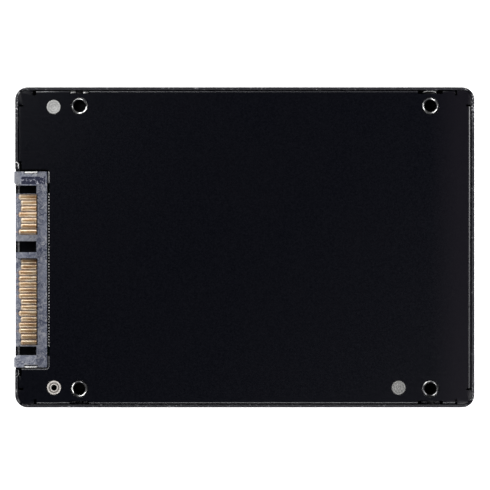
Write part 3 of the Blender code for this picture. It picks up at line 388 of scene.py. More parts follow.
def fold_coat_painted_highlight():
    """The same coat stretched thin over a bent or cut edge, and glossier; its greyer colour is a painted
    highlight on the folds.
    """
    m = Shader("fold_coat_painted_highlight", (0.02, 0.02, 0.024), 0.26, specular=0.75)
    colours = ((0.36, (0.006, 0.006, 0.009)), (0.66, (0.03, 0.03, 0.034)))
    return m.follow(m.noise(0.6 * MM, 4.0, 0.65), colours, ((0.34, 0.34), (0.66, 0.2)), 0.012 * MM)


def rim_coat():
    """The narrow rim: dark grey, lighter than the plate, with light scuffs, and light knocks near the corners
    that are painted glints.
    """
    m = Shader("rim_coat", (0.02, 0.02, 0.024), 0.4)
    scuff = m.noise(0.5 * MM, 5.0, 0.7)
    stops = ((0.38, (0.006, 0.006, 0.009)), (0.61, (0.024, 0.024, 0.028)), (0.69, (0.34, 0.34, 0.35)))
    end_stops = ((0.0, 1.0), (0.03, 0.0), (0.97, 0.0), (1.0, 1.0))
    side_stops = ((0.0, 0.3), (0.14, 0.0), (0.86, 0.0), (1.0, 1.0))
    ends = m.ramp(m.across("X", X_CASE, X_END), end_stops)
    sides = m.ramp(m.across("Y", -HALF_WIDTH, HALF_WIDTH), side_stops)
    # Painted corner glints: light specks only near the rim's corners.
    corner = m.ramp(m.mix(1.0, ends, sides, "MULTIPLY"), ((0.02, 0.0), (0.3, 1.0)))
    knocks = m.ramp(m.noise(0.35 * MM, 3.0, 0.7), ((0.56, 0.0), (0.62, 1.0)))
    painted_corner_glints = m.mix(1.0, corner, knocks, "MULTIPLY")
    m.feed(m.mix(painted_corner_glints, m.ramp(scuff, stops), (0.45, 0.45, 0.46)), "Base Color")
    m.feed(m.ramp(scuff, ((0.3, 0.5), (0.7, 0.34))), "Roughness")
    m.bump(scuff, 0.02 * MM, 0.6)
    return m.material


def bare_edge(name, dull, bright, metallic):
    """Sheared bare metal with fine drag marks and dull patches."""
    m = Shader(name, bright, 0.3, metallic)
    wear = m.noise(0.45 * MM, 4.0, 0.7)
    return m.follow(wear, ((0.35, dull), (0.65, bright)), ((0.3, 0.42), (0.7, 0.22)), 0.01 * MM)


def chipped_edge_painted_highlight():
    """Coat chipped off an edge here and there, down to bright metal; the light chips also paint highlights
    along every bevelled edge.
    """
    m = Shader("chipped_edge_painted_highlight", (0.02, 0.02, 0.022), 0.35)
    colours = ((0.46, (0.008, 0.008, 0.011)), (0.6, (0.55, 0.55, 0.56)))
    return m.follow(m.noise(0.4 * MM, 4.0, 0.7), colours, ((0.4, 0.3), (0.6, 0.5)), 0.01 * MM)


def turned_steel():
    """Machined collar: bright steel with darker stains."""
    m = Shader("turned_steel", (0.6, 0.6, 0.59), 0.24, 1.0)
    stain = m.noise(2.0 * MM, 3.0, 0.55)
    m.feed(m.ramp(stain, ((0.4, (0.06, 0.06, 0.064)), (0.58, (0.62, 0.62, 0.61)))), "Base Color")
    m.feed(m.ramp(stain, ((0.35, 0.3), (0.65, 0.22))), "Roughness")
    m.bump(m.noise(0.12 * MM, 2.0), 0.006 * MM, 0.5)
    return m.material


def rivet_metal(name, light, dark, roughness, rivet=None):
    """Coined rivet head: pale grained metal with pits, and tool rings round a rivet's axis."""
    m = Shader(name, light, roughness, 0.35)
    grain = m.noise(0.3 * MM, 5.0, 0.7)
    colour = m.ramp(grain, ((0.3, dark), (0.66, light)))
    if rivet:
        centred = m.node("ShaderNodeMapping")
        centred.inputs["Location"].default_value = -RIVETS[rivet]
        m.link(m.place, centred.inputs["Vector"])
        rings = m.node("ShaderNodeTexWave")
        rings.wave_type = "RINGS"
        rings.rings_direction = "Z"
        rings.inputs["Scale"].default_value = RIVET_RING_SCALE
        rings.inputs["Distortion"].default_value = 1.2
        rings.inputs["Detail Scale"].default_value = 2.0
        m.link(centred.outputs["Vector"], rings.inputs["Vector"])
        shade = m.ramp(rings.outputs["Fac"], ((0.2, 0.8), (0.8, 1.0)))
        colour = m.mix(1.0, colour, shade, "MULTIPLY")
    m.feed(colour, "Base Color")
    m.feed(m.ramp(grain, ((0.3, roughness + 0.12), (0.7, roughness - 0.06))), "Roughness")
    m.bump(grain, 0.02 * MM, 0.5)
    return m.material


def connector_plastic(name, dark, middle, light, depth):
    """Glossy blue-grey moulded plastic with flow marks and glass-fibre mottling; painted shade behind the
    cavity.
    """
    m = Shader(name, middle, 0.34)
    fleck = m.noise(0.9 * MM, 5.0, 0.75, distortion=1.2)
    flow = m.noise(2.6 * MM, 3.0, 0.6, distortion=0.5)
    base = m.ramp(fleck, ((0.4, dark), (0.5, middle), (0.6, light)))
    tone = m.mix(m.ramp(flow, ((0.42, 0.0), (0.62, 0.6))), base, tuple(1.2 * c for c in middle))
    # Painted shade: the wall top is darker just behind the cavity, less so towards the rear.
    stops = ((0.0, 0.0), (0.02, 1.0), (0.4, 0.85), (0.75, 0.45), (1.0, 0.4))
    painted_wall_shade = m.ramp(m.across("X", CAVITY_BACK_X, HOUSING_REAR_X), stops)
    m.feed(m.mix(painted_wall_shade, tone, m.mix(1.0, tone, (0.55, 0.55, 0.57), "MULTIPLY")), "Base Color")
    m.feed(m.ramp(fleck, ((0.38, 0.45), (0.62, 0.28))), "Roughness")
    m.bump(m.noise(0.5 * MM, 4.0, 0.6), depth, 0.6)
    return m.material


def etched_plastic():
    """Coarse etched grain in the same plastic: dark pits between pale worn crests."""
    m = Shader("plastic_etched", (0.12, 0.13, 0.17), 0.45)
    pits = m.noise(0.72 * MM, 3.0, 0.6, distortion=1.0)
    stops = ((0.53, (0.01, 0.012, 0.032)), (0.58, (0.05, 0.054, 0.09)), (0.65, (0.3, 0.3, 0.34)))
    m.feed(m.ramp(pits, stops), "Base Color")
    m.bump(pits, 0.06 * MM, 0.8)
    return m.material


def gold_contact(name, warm, middle, pale, metallic, painted_root_shade=1.0):
    """Gold flash over nickel with warmer worn patches, and painted shade that dims it towards the root by the
    given factor.
    """
    m = Shader(name, middle, 0.24, metallic)
    patch = m.noise(1.0 * MM, 4.0, 0.6, vector=m.stretched((0.4, 1.0, 1.0)))
    tone = m.ramp(patch, ((0.38, warm), (0.5, middle), (0.62, pale)))
    along = m.across("X", TONGUE_X, CAVITY_BACK_X)
    m.feed(m.mix(1.0, tone, m.ramp(along, ((0.3, 1.0), (0.75, painted_root_shade))), "MULTIPLY"), "Base Color")
    m.feed(m.ramp(patch, ((0.36, 0.3), (0.64, 0.2))), "Roughness")
    m.bump(m.noise(0.1 * MM, 2.0, vector=m.stretched((0.1, 1.0, 1.0))), 0.004 * MM, 0.4)
    return m.material


def copper_stub():
    m = Shader("copper_stub", (0.7, 0.32, 0.16), 0.35, 0.9)
    m.feed(m.ramp(m.noise(0.2 * MM), ((0.3, (0.5, 0.2, 0.1)), (0.7, (0.8, 0.42, 0.24)))), "Base Color")
    return m.material


def board_laminate():
    """Dark green solder mask over copper tracks in two directions."""
    m = Shader("board_laminate", (0.012, 0.08, 0.045), 0.32)
    wave = m.node("ShaderNodeTexWave")
    wave.inputs["Scale"].default_value = 420.0
    wave.inputs["Distortion"].default_value = 7.0
    wave.inputs["Detail"].default_value = 1.0
    wave.inputs["Detail Scale"].default_value = 0.6
    m.link(m.place, wave.inputs["Vector"])
    track = m.ramp(wave.outputs["Fac"], ((0.62, 0.0), (0.7, 1.0)))
    m.feed(m.mix(track, (0.008, 0.05, 0.03), (0.02, 0.13, 0.07)), "Base Color")
    m.bump(track, 0.02 * MM, 0.6)
    return m.material


def grained(name, low, high, roughness, size, depth, metallic=0.0):
    """A plain moulded or pressed surface with its own grain."""
    m = Shader(name, high, roughness, metallic)
    spread = ((0.3, roughness + 0.08), (0.7, roughness - 0.08))
    return m.follow(m.noise(size, 4.0, 0.6), ((0.3, low), (0.7, high)), spread, depth)


LOOK = {
    "coat": powder_coat(),
    "fold_coat_painted_highlight": fold_coat_painted_highlight(),
    "rim_coat": rim_coat(),
    "bare_edge": bare_edge("bare_edge", (0.08, 0.08, 0.085), (0.26, 0.26, 0.265), 0.7),
    # Near-white sheared metal: a painted white glint on the upper wall end and the rear-left lip.
    "sheared_edge_painted_white_glint": bare_edge("sheared_edge_painted_white_glint", (0.6, 0.6, 0.6), (1.0, 1.0, 0.99), 0.2),
    "lock_tin": bare_edge("lock_tin", (0.45, 0.45, 0.45), (0.82, 0.82, 0.81), 0.25),
    # Lighter band on the tray's front lip: a painted highlight.
    "lip_painted_highlight": bare_edge("lip_painted_highlight", (0.02, 0.02, 0.022), (0.34, 0.34, 0.345), 0.3),
    # Grey sheared metal: painted highlights on the lower wall end, the front-left pads and the upper notch
    # edge.
    "sheared_edge_painted_highlight": bare_edge("sheared_edge_painted_highlight", (0.1, 0.1, 0.1), (0.6, 0.6, 0.59), 0.4),
    "chipped_edge_painted_highlight": chipped_edge_painted_highlight(),
    "comb_tin": bare_edge("comb_tin", (0.42, 0.42, 0.42), (0.66, 0.66, 0.65), 0.4),
    "turned": turned_steel(),
    # Near-black thread: painted shade in the bores, the hollow rivet's eye and on the side collars' outsides.
    "thread": grained(
        "thread_painted_shade", (0.006, 0.006, 0.007), (0.03, 0.03, 0.032), 0.5, 0.3 * MM, 0.01 * MM, 0.6
    ),
    "rivet_pale": rivet_metal("rivet_pale", (0.55, 0.55, 0.54), (0.34, 0.34, 0.33), 0.42, "rivet_front_left"),
    "rivet_dull": rivet_metal(
        "rivet_dull", (0.33, 0.325, 0.32), (0.09, 0.09, 0.085), 0.45, "rivet_rear_right"
    ),
    "rivet_ring": rivet_metal("rivet_ring", (0.92, 0.88, 0.83), (0.6, 0.56, 0.52), 0.3),
    # Darker copy: painted shade in the hollow rivet's groove.
    "rivet_groove_painted_shade": rivet_metal("rivet_groove_painted_shade", (0.36, 0.33, 0.3), (0.14, 0.13, 0.12), 0.4),
    "plastic": connector_plastic(
        "connector_plastic", (0.036, 0.043, 0.078), (0.155, 0.165, 0.205), (0.34, 0.34, 0.36), 0.045 * MM
    ),
    # Lighter, evener copy: painted highlight on guide noses, key tops and eased pocket edges.
    "plastic_painted_highlight": connector_plastic(
        "plastic_painted_highlight", (0.1, 0.105, 0.13), (0.17, 0.175, 0.2), (0.27, 0.27, 0.28), 0.02 * MM
    ),
    # Darker copy: painted shade in the wall notches over the contacts.
    "plastic_painted_shade": connector_plastic(
        "plastic_painted_shade", (0.03, 0.026, 0.034), (0.07, 0.062, 0.07), (0.14, 0.125, 0.13), 0.02 * MM
    ),
    "plastic_etched": etched_plastic(),
    "gold": gold_contact("gold_contact", (0.42, 0.21, 0.09), (0.74, 0.46, 0.23), (0.86, 0.63, 0.38), 0.55),
    # Paler copy: painted highlight on the contacts' shoulders and tips.
    "gold_painted_highlight": gold_contact("gold_painted_highlight", (0.62, 0.45, 0.3), (0.71, 0.57, 0.42), (0.82, 0.7, 0.56), 0.35),
    # Power copies: a little darker than the signal ones, with painted shade down to 0.74 towards the root.
    "gold_power": gold_contact(
        "gold_power", (0.39, 0.2, 0.09), (0.7, 0.44, 0.22), (0.8, 0.59, 0.36), 0.55, 0.74
    ),
    # Paler power copy: painted highlight on the shoulders and tips.
    "gold_power_painted_highlight": gold_contact(
        "gold_power_painted_highlight", (0.6, 0.42, 0.27), (0.68, 0.53, 0.37), (0.79, 0.67, 0.52), 0.35, 0.74
    ),
    # Near-black gold: painted shade where the contacts enter the wall and at the foot of the comb.
    "gold_painted_shade": gold_contact(
        "gold_painted_shade", (0.03, 0.02, 0.015), (0.08, 0.05, 0.03), (0.14, 0.09, 0.05), 0.6
    ),
    "copper": copper_stub(),
    "board": board_laminate(),
    "resin": grained("chip_resin", (0.016, 0.016, 0.018), (0.035, 0.035, 0.038), 0.55, 0.2 * MM, 0.01 * MM),
    "ferrite": grained("ferrite", (0.06, 0.06, 0.065), (0.12, 0.12, 0.125), 0.6, 0.3 * MM, 0.02 * MM),
    "tantalum": grained("tantalum", (0.42, 0.22, 0.03), (0.62, 0.36, 0.07), 0.5, 0.4 * MM, 0.02 * MM),
    "gel": grained("thermal_gel", (0.32, 0.36, 0.44), (0.46, 0.5, 0.58), 0.75, 0.5 * MM, 0.04 * MM),
    "steel": grained("brushed_steel", (0.4, 0.4, 0.4), (0.62, 0.61, 0.6), 0.35, 0.3 * MM, 0.01 * MM, 1.0),
    "film": grained("label_film", (0.74, 0.74, 0.73), (0.8, 0.8, 0.79), 0.42, 0.6 * MM, 0.006 * MM),
    "ink": grained("label_ink", (0.1, 0.11, 0.12), (0.15, 0.16, 0.17), 0.45, 0.3 * MM, 0.003 * MM),
    "tint": grained("label_tint", (0.5, 0.52, 0.54), (0.56, 0.58, 0.6), 0.45, 0.4 * MM, 0.003 * MM),
}


# ---- shape helpers ---------------------------------------------------------------------------
def mesh_object(name, bm, looks=()):
    bmesh.ops.recalc_face_normals(bm, faces=bm.faces)
    mesh = bpy.data.meshes.new(name)
    bm.to_mesh(mesh)
    bm.free()
    thing = bpy.data.objects.new(name, mesh)
    bpy.context.scene.collection.objects.link(thing)
    for look in looks:
        mesh.materials.append(LOOK[look])
    return thing


def combine(target, bm, operation):
    """Apply one exact Boolean with the solid in bm."""
    tool = mesh_object("tool", bm)
    modifier = target.modifiers.new("combine", "BOOLEAN")
    modifier.object = tool
    modifier.operation = operation
    modifier.solver = "EXACT"
    bpy.context.view_layer.update()
    graph = bpy.context.evaluated_depsgraph_get()
    mesh = bpy.data.meshes.new_from_object(target.evaluated_get(graph))
    target.modifiers.clear()
    before = target.data
    target.data = mesh
    bpy.data.meshes.remove(before)
    bpy.data.objects.remove(tool, do_unlink=True)


def cut(target, bm):
    combine(target, bm, "DIFFERENCE")


def join(target, bm):
    combine(target, bm, "UNION")


def dress(thing, replaced=(), bevel=0.0, edge_look=None, segments=2):
    """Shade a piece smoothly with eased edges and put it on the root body."""
    for polygon in thing.data.polygons:
        polygon.use_smooth = True
    thing.data.set_sharp_from_angle(angle=SHARP)
    if bevel:
        ease = thing.modifiers.new("ease", "BEVEL")
        ease.width = bevel
        ease.segments = segments
        ease.limit_method = "ANGLE"
        ease.angle_limit = SHARP
        ease.use_clamp_overlap = True
        if edge_look:
            thing.data.materials.append(LOOK[edge_look])
            ease.material = len(thing.data.materials) - 1
        flat = thing.modifiers.new("flat", "WEIGHTED_NORMAL")
        flat.keep_sharp = False
        flat.weight = 80
    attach(thing, ROOT)
    if replaced:
        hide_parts(*replaced)
    return thing


def loft(bm, rings):
    """Join rings of equal vertex count into a solid that is capped at both ends."""
    loops = [[bm.verts.new(point) for point in ring] for ring in rings]
    count = len(loops[0])
    for lower, upper in zip(loops, loops[1:]):
        for i in range(count):
            j = (i + 1) % count
            bm.faces.new((lower[i], lower[j], upper[j], upper[i]))
    bm.faces.new(list(reversed(loops[0])))
    bm.faces.new(loops[-1])


def box(bm, x_pair, y_pair, z_pair):
    x0, x1 = sorted(x_pair)
    y0, y1 = sorted(y_pair)
    ring = ((x0, y0), (x1, y0), (x1, y1), (x0, y1))
    loft(bm, [[(x, y, z) for x, y in ring] for z in sorted(z_pair)])


def arc(centre_x, centre_y, radius, start, end, steps):
    points = []
    for i in range(steps + 1):
        angle = math.radians(start + (end - start) * i / steps)
        points.append((centre_x + radius * math.cos(angle), centre_y + radius * math.sin(angle)))
    return points


def rounded_rectangle(x0, x1, y0, y1, radius, steps):
    points = []
    points += arc(x1 - radius, y0 + radius, radius, -90, 0, steps)
    points += arc(x1 - radius, y1 - radius, radius, 0, 90, steps)
    points += arc(x0 + radius, y1 - radius, radius, 90, 180, steps)
    points += arc(x0 + radius, y0 + radius, radius, 180, 270, steps)
    return points


def circle(radius, steps):
    turn = 2 * math.pi / steps
    return [(radius * math.cos(i * turn), radius * math.sin(i * turn)) for i in range(steps)]


def label_outline(grow=0.0):
    half_x, half_y = (half + grow for half in LABEL_HALF)
    return rounded_rectangle(-half_x, half_x, -half_y, half_y, CORNER_RADIUS, ARC_STEPS)


def turned(bm, x, y, profile, steps=40):
    """A solid of revolution about an upright axis, from (radius, z) pairs."""
    loft(bm, [[(x + u, y + v, z) for u, v in circle(radius, steps)] for radius, z in profile])


def cross_turned(bm, x, z, profile, steps=40):
    """A solid of revolution about an axis along Y, from (radius, y) pairs."""
    loft(bm, [[(x + u, y, z + v) for u, v in circle(radius, steps)] for radius, y in profile])


def slab(bm, outline, z0, z1):
    verts = [bm.verts.new((x, y, z0)) for x, y in outline]
    edges = [bm.edges.new((a, b)) for a, b in zip(verts, verts[1:] + verts[:1])]
    filled = bmesh.ops.triangle_fill(bm, use_beauty=True, use_dissolve=False, edges=edges)
    faces = [item for item in filled["geom"] if isinstance(item, bmesh.types.BMFace)]
    raised = bmesh.ops.extrude_face_region(bm, geom=faces, use_keep_orig=True)
    lifted = [item for item in raised["geom"] if isinstance(item, bmesh.types.BMVert)]
    bmesh.ops.translate(bm, verts=lifted, vec=Vector((0.0, 0.0, z1 - z0)))


# ---- tray ------------------------------------------------------------------------------------
def case_ring(inset, z):
    x_pair, half = (X_CASE + inset, X_END - inset), HALF_WIDTH - inset
    outline = rounded_rectangle(*x_pair, -half, half, CORNER_RADIUS - inset, ARC_STEPS)
    return [(x, y, z) for x, y in outline]


def tray_skin():
    """Foot round, outer wall, rounded rim, inner wall and floor as one closed skin."""
    rings = [case_ring(u, v) for u, v in arc(FOOT_ROUND, FOOT_ROUND, FOOT_ROUND, 270, 180, 8)]
    low = TRAY_RIM_Z - RIM_ROUND
    rings += [case_ring(u, v) for u, v in arc(RIM_ROUND, low, RIM_ROUND, 180, 90, 4)]
    rings += [case_ring(u, v) for u, v in arc(WALL - RIM_ROUND, low, RIM_ROUND, 90, 0, 4)]
    centre = (WALL + INNER_ROUND, FLOOR + INNER_ROUND)
    rings += [case_ring(u, v) for u, v in arc(*centre, INNER_ROUND, 180, 270, 4)]
    bm = bmesh.new()
    loft(bm, rings)
    return bm


def wall_end_curve(start, run):
    """(y, z) points of the rim as it turns down towards the connector cut-out."""
    points = []
    for i in range(WALL_END_STEPS + 1):
        angle = math.radians(90 * i / WALL_END_STEPS)
        drop = WALL_END_DROP * (1 - math.cos(angle))
        points.append((start + run * (1 - math.sin(angle)), TRAY_RIM_Z - drop))
    return points


def wall_end_cutter(start, run):
    bm = bmesh.new()
    curve = wall_end_curve(start, run)
    high = TRAY_RIM_Z + CUT_PAST
    back = start - run / 4
    outline = [(curve[0][0], high)] + curve + [(back, curve[-1][1]), (back, high)]
    loft(bm, [[(x, y, z) for y, z in outline] for x in (X_CASE - CUT_PAST, X_CASE + WALL + INNER_ROUND)])
    return bm


def wall_end_path(start, run):
    """(x, y) points along one wall end: it bends inwards, then runs on to the cut-out."""
    path = []
    for i in range(WALL_END_STEPS + 1):
        angle = math.radians(90 * i / WALL_END_STEPS)
        y = start + run * (WALL_END_TURN[0] - WALL_END_TURN[1] * (1 - math.cos(angle)))
        path.append((X_CASE + WALL_END_INSET + WALL_END_BEND * math.sin(angle), y))
    last = path[-1][0]
    return path + [(last + step, start + part * run) for part, step in WALL_END_TAIL]


def along_path(path, i):
    """Unit direction of a flat path at its point number i."""
    ahead, behind = path[min(i + 1, len(path) - 1)], path[max(i - 1, 0)]
    return Vector((ahead[0] - behind[0], ahead[1] - behind[1])).normalized()


def make_wall_ends():
    """Bare sheared metal along the turned-down rim on both sides of the connector, coloured as painted
    glints.
    """
    for number, (start, run, radius, look) in enumerate(WALL_END_STROKES):
        path = wall_end_path(start, run)
        rings = []
        for i, (x, y) in enumerate(path):
            along = along_path(path, i)
            down = 1 - math.sqrt(1 - min(1.0, 1 - (y - start) / run) ** 2)
            z = TRAY_RIM_Z - radius / 2 - WALL_END_DROP * down
            rings.append([(x + along.y * u, y - along.x * u, z + v) for u, v in circle(radius, 6)])
        bm = bmesh.new()
        loft(bm, rings)
        dress(mesh_object(f"wall_end_{number}", bm, (look,)))


def make_tray():
    tray = mesh_object("case_tray", tray_skin(), ("coat", "rim_coat", "lip_painted_highlight"))
    bm = bmesh.new()
    x_pair = (X_CASE - CUT_PAST, X_CASE + WALL + INNER_ROUND)
    box(bm, x_pair, (NOTCH_Y_LOW, NOTCH_Y_HIGH), (FRONT_LIP_Z, COVER_TOP + CUT_PAST))
    cut(tray, bm)
    cut(tray, wall_end_cutter(NOTCH_Y_HIGH, WALL_END_RUN))
    cut(tray, wall_end_cutter(NOTCH_Y_LOW, -WALL_END_RUN))
    bm = bmesh.new()
    for x in HOLE_X:
        for side in (-1, 1):
            ends = (side * (HALF_WIDTH - 2 * WALL), side * (HALF_WIDTH + CUT_PAST))
            cross_turned(bm, x, SIDE_HOLE_Z, [(SIDE_OPENING_RADIUS, y) for y in ends])
    cut(tray, bm)
    bm = bmesh.new()
    slab(bm, label_outline(LABEL_CLEAR), -CUT_PAST, LABEL_RECESS)
    cut(tray, bm)
    bm = bmesh.new()
    for x in (RIVETS["rivet_front_left"].x, RIVETS["rivet_rear_right"].x):
        for y in (RIVETS["rivet_front_left"].y, RIVETS["rivet_front_right"].y):
            turned(bm, x, y, [(POST_RADIUS, z) for z in (FLOOR / 2, BOARD_FOOT - POST_GAP)])
    join(tray, bm)
    bm = bmesh.new()
    z_pair = (FLOOR / 2, FRONT_LIP_Z + LIP_EDGE_RISE)
    box(bm, LIP_EDGE_X, (NOTCH_Y_LOW - JOIN, NOTCH_Y_HIGH + JOIN), z_pair)
    join(tray, bm)
    for polygon in tray.data.polygons:
        spot = polygon.center
        inset = min(spot.x - X_CASE, X_END - spot.x, HALF_WIDTH - abs(spot.y))
        if spot.z > TRAY_RIM_Z - RIM_ROUND and inset < WALL:
            polygon.material_index = 1
        # The lip top takes the lighter lip look: a painted highlight.
        elif LIP_EDGE_X[0] < spot.x < LIP_EDGE_X[1] and spot.z > FRONT_LIP_Z:
            polygon.material_index = 2
    dress(tray, ("top_cover",), EDGE_BEVEL / 2, "chipped_edge_painted_highlight")


# ---- cover -----------------------------------------------------------------------------------
def cover_corner(x_sign, y_sign):
    x_edge = X_END if x_sign > 0 else X_CASE
    near, far = SLIT
    path = [(PLATE_INSET, far), (SLIT_DEPTH, far), (SLIT_DEPTH, near), (TAB_INSET, near)]
    path += arc(CORNER_RADIUS, CORNER_RADIUS, CORNER_RADIUS - TAB_INSET, 180, 270, ARC_STEPS)
    near, far = FRONT_SLITS.get((x_sign, y_sign), SLIT)
    path += [(near, TAB_INSET), (near, SLIT_DEPTH), (far, SLIT_DEPTH), (far, PLATE_INSET)]
    points = [(x_edge - x_sign * u, y_sign * (HALF_WIDTH - v)) for u, v in path]
    return points if x_sign * y_sign > 0 else points[::-1]


def cover_outline():
    inner_x = X_CASE + NOTCH_DEPTH
    edge_x = X_CASE + PLATE_INSET
    points = cover_corner(-1, -1) + cover_corner(1, -1) + cover_corner(1, 1) + cover_corner(-1, 1)
    points.append((edge_x, NOTCH_Y_HIGH))
    points += arc(inner_x - NOTCH_ROUND, NOTCH_Y_HIGH - NOTCH_ROUND, NOTCH_ROUND, 90, 0, 6)
    points += arc(inner_x - NOTCH_ROUND, NOTCH_Y_LOW + NOTCH_ROUND, NOTCH_ROUND, 0, -90, 6)
    points.append((edge_x, NOTCH_Y_LOW))
    return points


def fold_section(radius):
    inner = FLANGE_INSET + SHEET
    section = [(FLANGE_INSET, FLANGE_FOOT_Z)]
    section += arc(FLANGE_INSET + radius, COVER_TOP - radius, radius, 180, 90, FOLD_STEPS)
    lap = inner + FLANGE_OVERLAP
    return section + [(lap, COVER_TOP), (lap, SHEET_Z), (inner, SHEET_Z), (inner, FLANGE_FOOT_Z)]


def cover_flanges():
    section = fold_section(FOLD_RADIUS)
    bm = bmesh.new()
    for side in (-1, 1):
        cuts = [X_CASE + FRONT_SLITS[-1, side][1]]
        for x, half in zip(HOLE_X, WINDOW_HALF):
            cuts += [x - half, x + half]
        cuts.append(X_END - SLIT[1])
        for x_pair in zip(cuts[::2], cuts[1::2]):
            loft(bm, [[(x, side * (HALF_WIDTH - u), z) for u, z in section] for x in x_pair])
    reach = HALF_WIDTH - SLIT[1]
    spans = ((1, -reach, reach), (-1, FRONT_FLANGE_GAP_HIGH, reach), (-1, -reach, FRONT_FLANGE_GAP_LOW))
    for side, y0, y1 in spans:
        edge = X_END if side > 0 else X_CASE
        section = fold_section(END_FOLD_RADIUS if side > 0 else FOLD_RADIUS)
        loft(bm, [[(edge - side * u, y, z) for u, z in section] for y in (y0, y1)])
    return bm


def make_cover():
    bm = bmesh.new()
    slab(bm, cover_outline(), SHEET_Z, COVER_TOP)
    cover = mesh_object("underside_cover", bm, ("coat", "fold_coat_painted_highlight"))
    join(cover, cover_flanges())
    bm = bmesh.new()
    low, high = SHEET_Z - CUT_PAST, COVER_TOP + CUT_PAST
    for x in HOLE_X:
        for y in (-HOLE_Y, HOLE_Y):
            turned(bm, x, y, [(COLLAR_HOLE_RADIUS, low), (COLLAR_HOLE_RADIUS, high)])
    foot, top = RIVET_HOLE_RADII
    for place in RIVETS.values():
        turned(bm, place.x, place.y, [(foot, low), (foot, SHEET_Z), (top, COVER_TOP), (top, high)])
    cut(cover, bm)
    for polygon in cover.data.polygons:
        spot = polygon.center
        inset = min(X_END - spot.x, HALF_WIDTH - abs(spot.y))
        # Folds take the greyer fold coat as painted highlight; the top fold beyond the rear-left gap keeps
        # the plain coat as painted shade.
        if spot.x > HOLE_X[1] and spot.y > HALF_WIDTH - FLANGE_INSET - END_FOLD_RADIUS:
            continue
        if SHEET_Z < spot.z < COVER_TOP - RIM_ROUND / 10 and inset < FLANGE_INSET + END_FOLD_RADIUS:
            polygon.material_index = 1
    dress(cover, ("bottom_cover",), 1.8 * EDGE_BEVEL, "chipped_edge_painted_highlight")


def make_notch_edge():
    """The sheared, slightly sloping edge of the cover round the connector cut-out."""
    x_in = X_CASE + NOTCH_DEPTH
    turn = arc(x_in - NOTCH_ROUND, NOTCH_Y_LOW + NOTCH_ROUND, NOTCH_ROUND, 0, -90, 6)
    runs = (
        [(x_in, y) for y in NOTCH_EDGE_HIGH],
        [(x_in, NOTCH_EDGE_LOW)] + turn + [(NOTCH_EDGE_END_X, NOTCH_Y_LOW)],
    )
    bm = bmesh.new()
    for run in runs:
        rings = []
        for i, (x, y) in enumerate(run):
            along = along_path(run, i)
            inward = Vector((-along.y, along.x))
            if inward.x > 0 or (abs(inward.x) < 1e-6 and inward.y < 0):
                inward = -inward
            tip = (x + inward.x * NOTCH_EDGE_SLOPE, y + inward.y * NOTCH_EDGE_SLOPE)
            crest = (x, y, COVER_TOP - NOTCH_EDGE_SINK)
            rings.append([crest, (*tip, SHEET_Z + NOTCH_EDGE_FLAT), (*tip, SHEET_Z), (x, y, SHEET_Z)])
        loft(bm, rings)
    edge = mesh_object("notch_edge", bm, ("sheared_edge_painted_highlight", "bare_edge"))
    for polygon in edge.data.polygons:
        # Upper run lighter, lower run darker: painted light and shade on one edge.
        polygon.material_index = int(polygon.center.y < 0)
    dress(edge)


# ---- blocks and rivets -----------------------------------------------------------------------
def thread(start, end):
    """(radius, distance) pairs of a fine thread from start to end along a bore."""
    count = int(abs(end - start) / THREAD_PITCH)
    step = (end - start) / count
    points = []
    for i in range(count):
        points += [(MINOR_RADIUS, start + i * step), (MAJOR_RADIUS, start + (i + 0.5) * step)]
    return points + [(MINOR_RADIUS, end)]


def mouth(level):
    """(radius, distance) pairs of the rounded mouth of a bore that opens at level."""
    tilts = [math.radians(MOUTH_TILTS[0] + (MOUTH_TILTS[1] - MOUTH_TILTS[0]) * i / 6) for i in range(7)]
    radius = (MOUTH_RADIUS - CHAMFER_FOOT) / (math.sin(tilts[0]) - math.sin(tilts[-1]))
    points = []
    for tilt in tilts:
        run = radius * (math.sin(tilt) - math.sin(tilts[-1]))
        points.append((MOUTH_RADIUS - run, level - radius * (math.cos(tilts[-1]) - math.cos(tilt))))
    return points


def block_body(name, x, side):
    """A chamfered block with one collar up into the cover and one out into the side wall."""
    y0, y1, half, c = BLOCK_INNER_Y, BLOCK_OUTER_Y, BLOCK_HALF, BLOCK_CORNER
    plan = [
        (-half + c, y0), (half - c, y0), (half, y0 + c), (half, y1 - c),
        (half - c, y1), (-half + c, y1), (-half, y1 - c), (-half, y0 + c),
    ]
    bm = bmesh.new()
    loft(bm, [[(x + u, side * v, z) for u, v in plan] for z in (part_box(name)[0].z, BLOCK_TOP_Z)])
    block = mesh_object(name + "_threaded", bm, ("turned", "thread"))
    bm = bmesh.new()
    turned(bm, x, side * HOLE_Y, [(COLLAR_RADIUS, z) for z in (BLOCK_TOP_Z - CUT_PAST, COLLAR_TOP_Z)])
    join(block, bm)
    bm = bmesh.new()
    ends = (side * (BLOCK_OUTER_Y - CUT_PAST), side * SIDE_MOUTH)
    cross_turned(bm, x, SIDE_HOLE_Z, [(SIDE_COLLAR_RADIUS, y) for y in ends])
    join(block, bm)
    return block


def bore(block, x, side):
    """Cut the underside hole and the side hole, each with thread grooves and a round mouth."""
    bm = bmesh.new()
    profile = thread(THREAD_FOOT_Z, COLLAR_TOP_Z - CHAMFER)
    profile += mouth(COLLAR_TOP_Z) + [(MOUTH_RADIUS, COLLAR_TOP_Z + CUT_PAST)]
    turned(bm, x, side * HOLE_Y, profile)
    cut(block, bm)
    bm = bmesh.new()
    profile = thread(HOLE_Y, SIDE_MOUTH - CHAMFER) + mouth(SIDE_MOUTH)
    profile.append((MOUTH_RADIUS, SIDE_MOUTH + CUT_PAST))
    cross_turned(bm, x, SIDE_HOLE_Z, [(radius, side * y) for radius, y in profile])
    cut(block, bm)


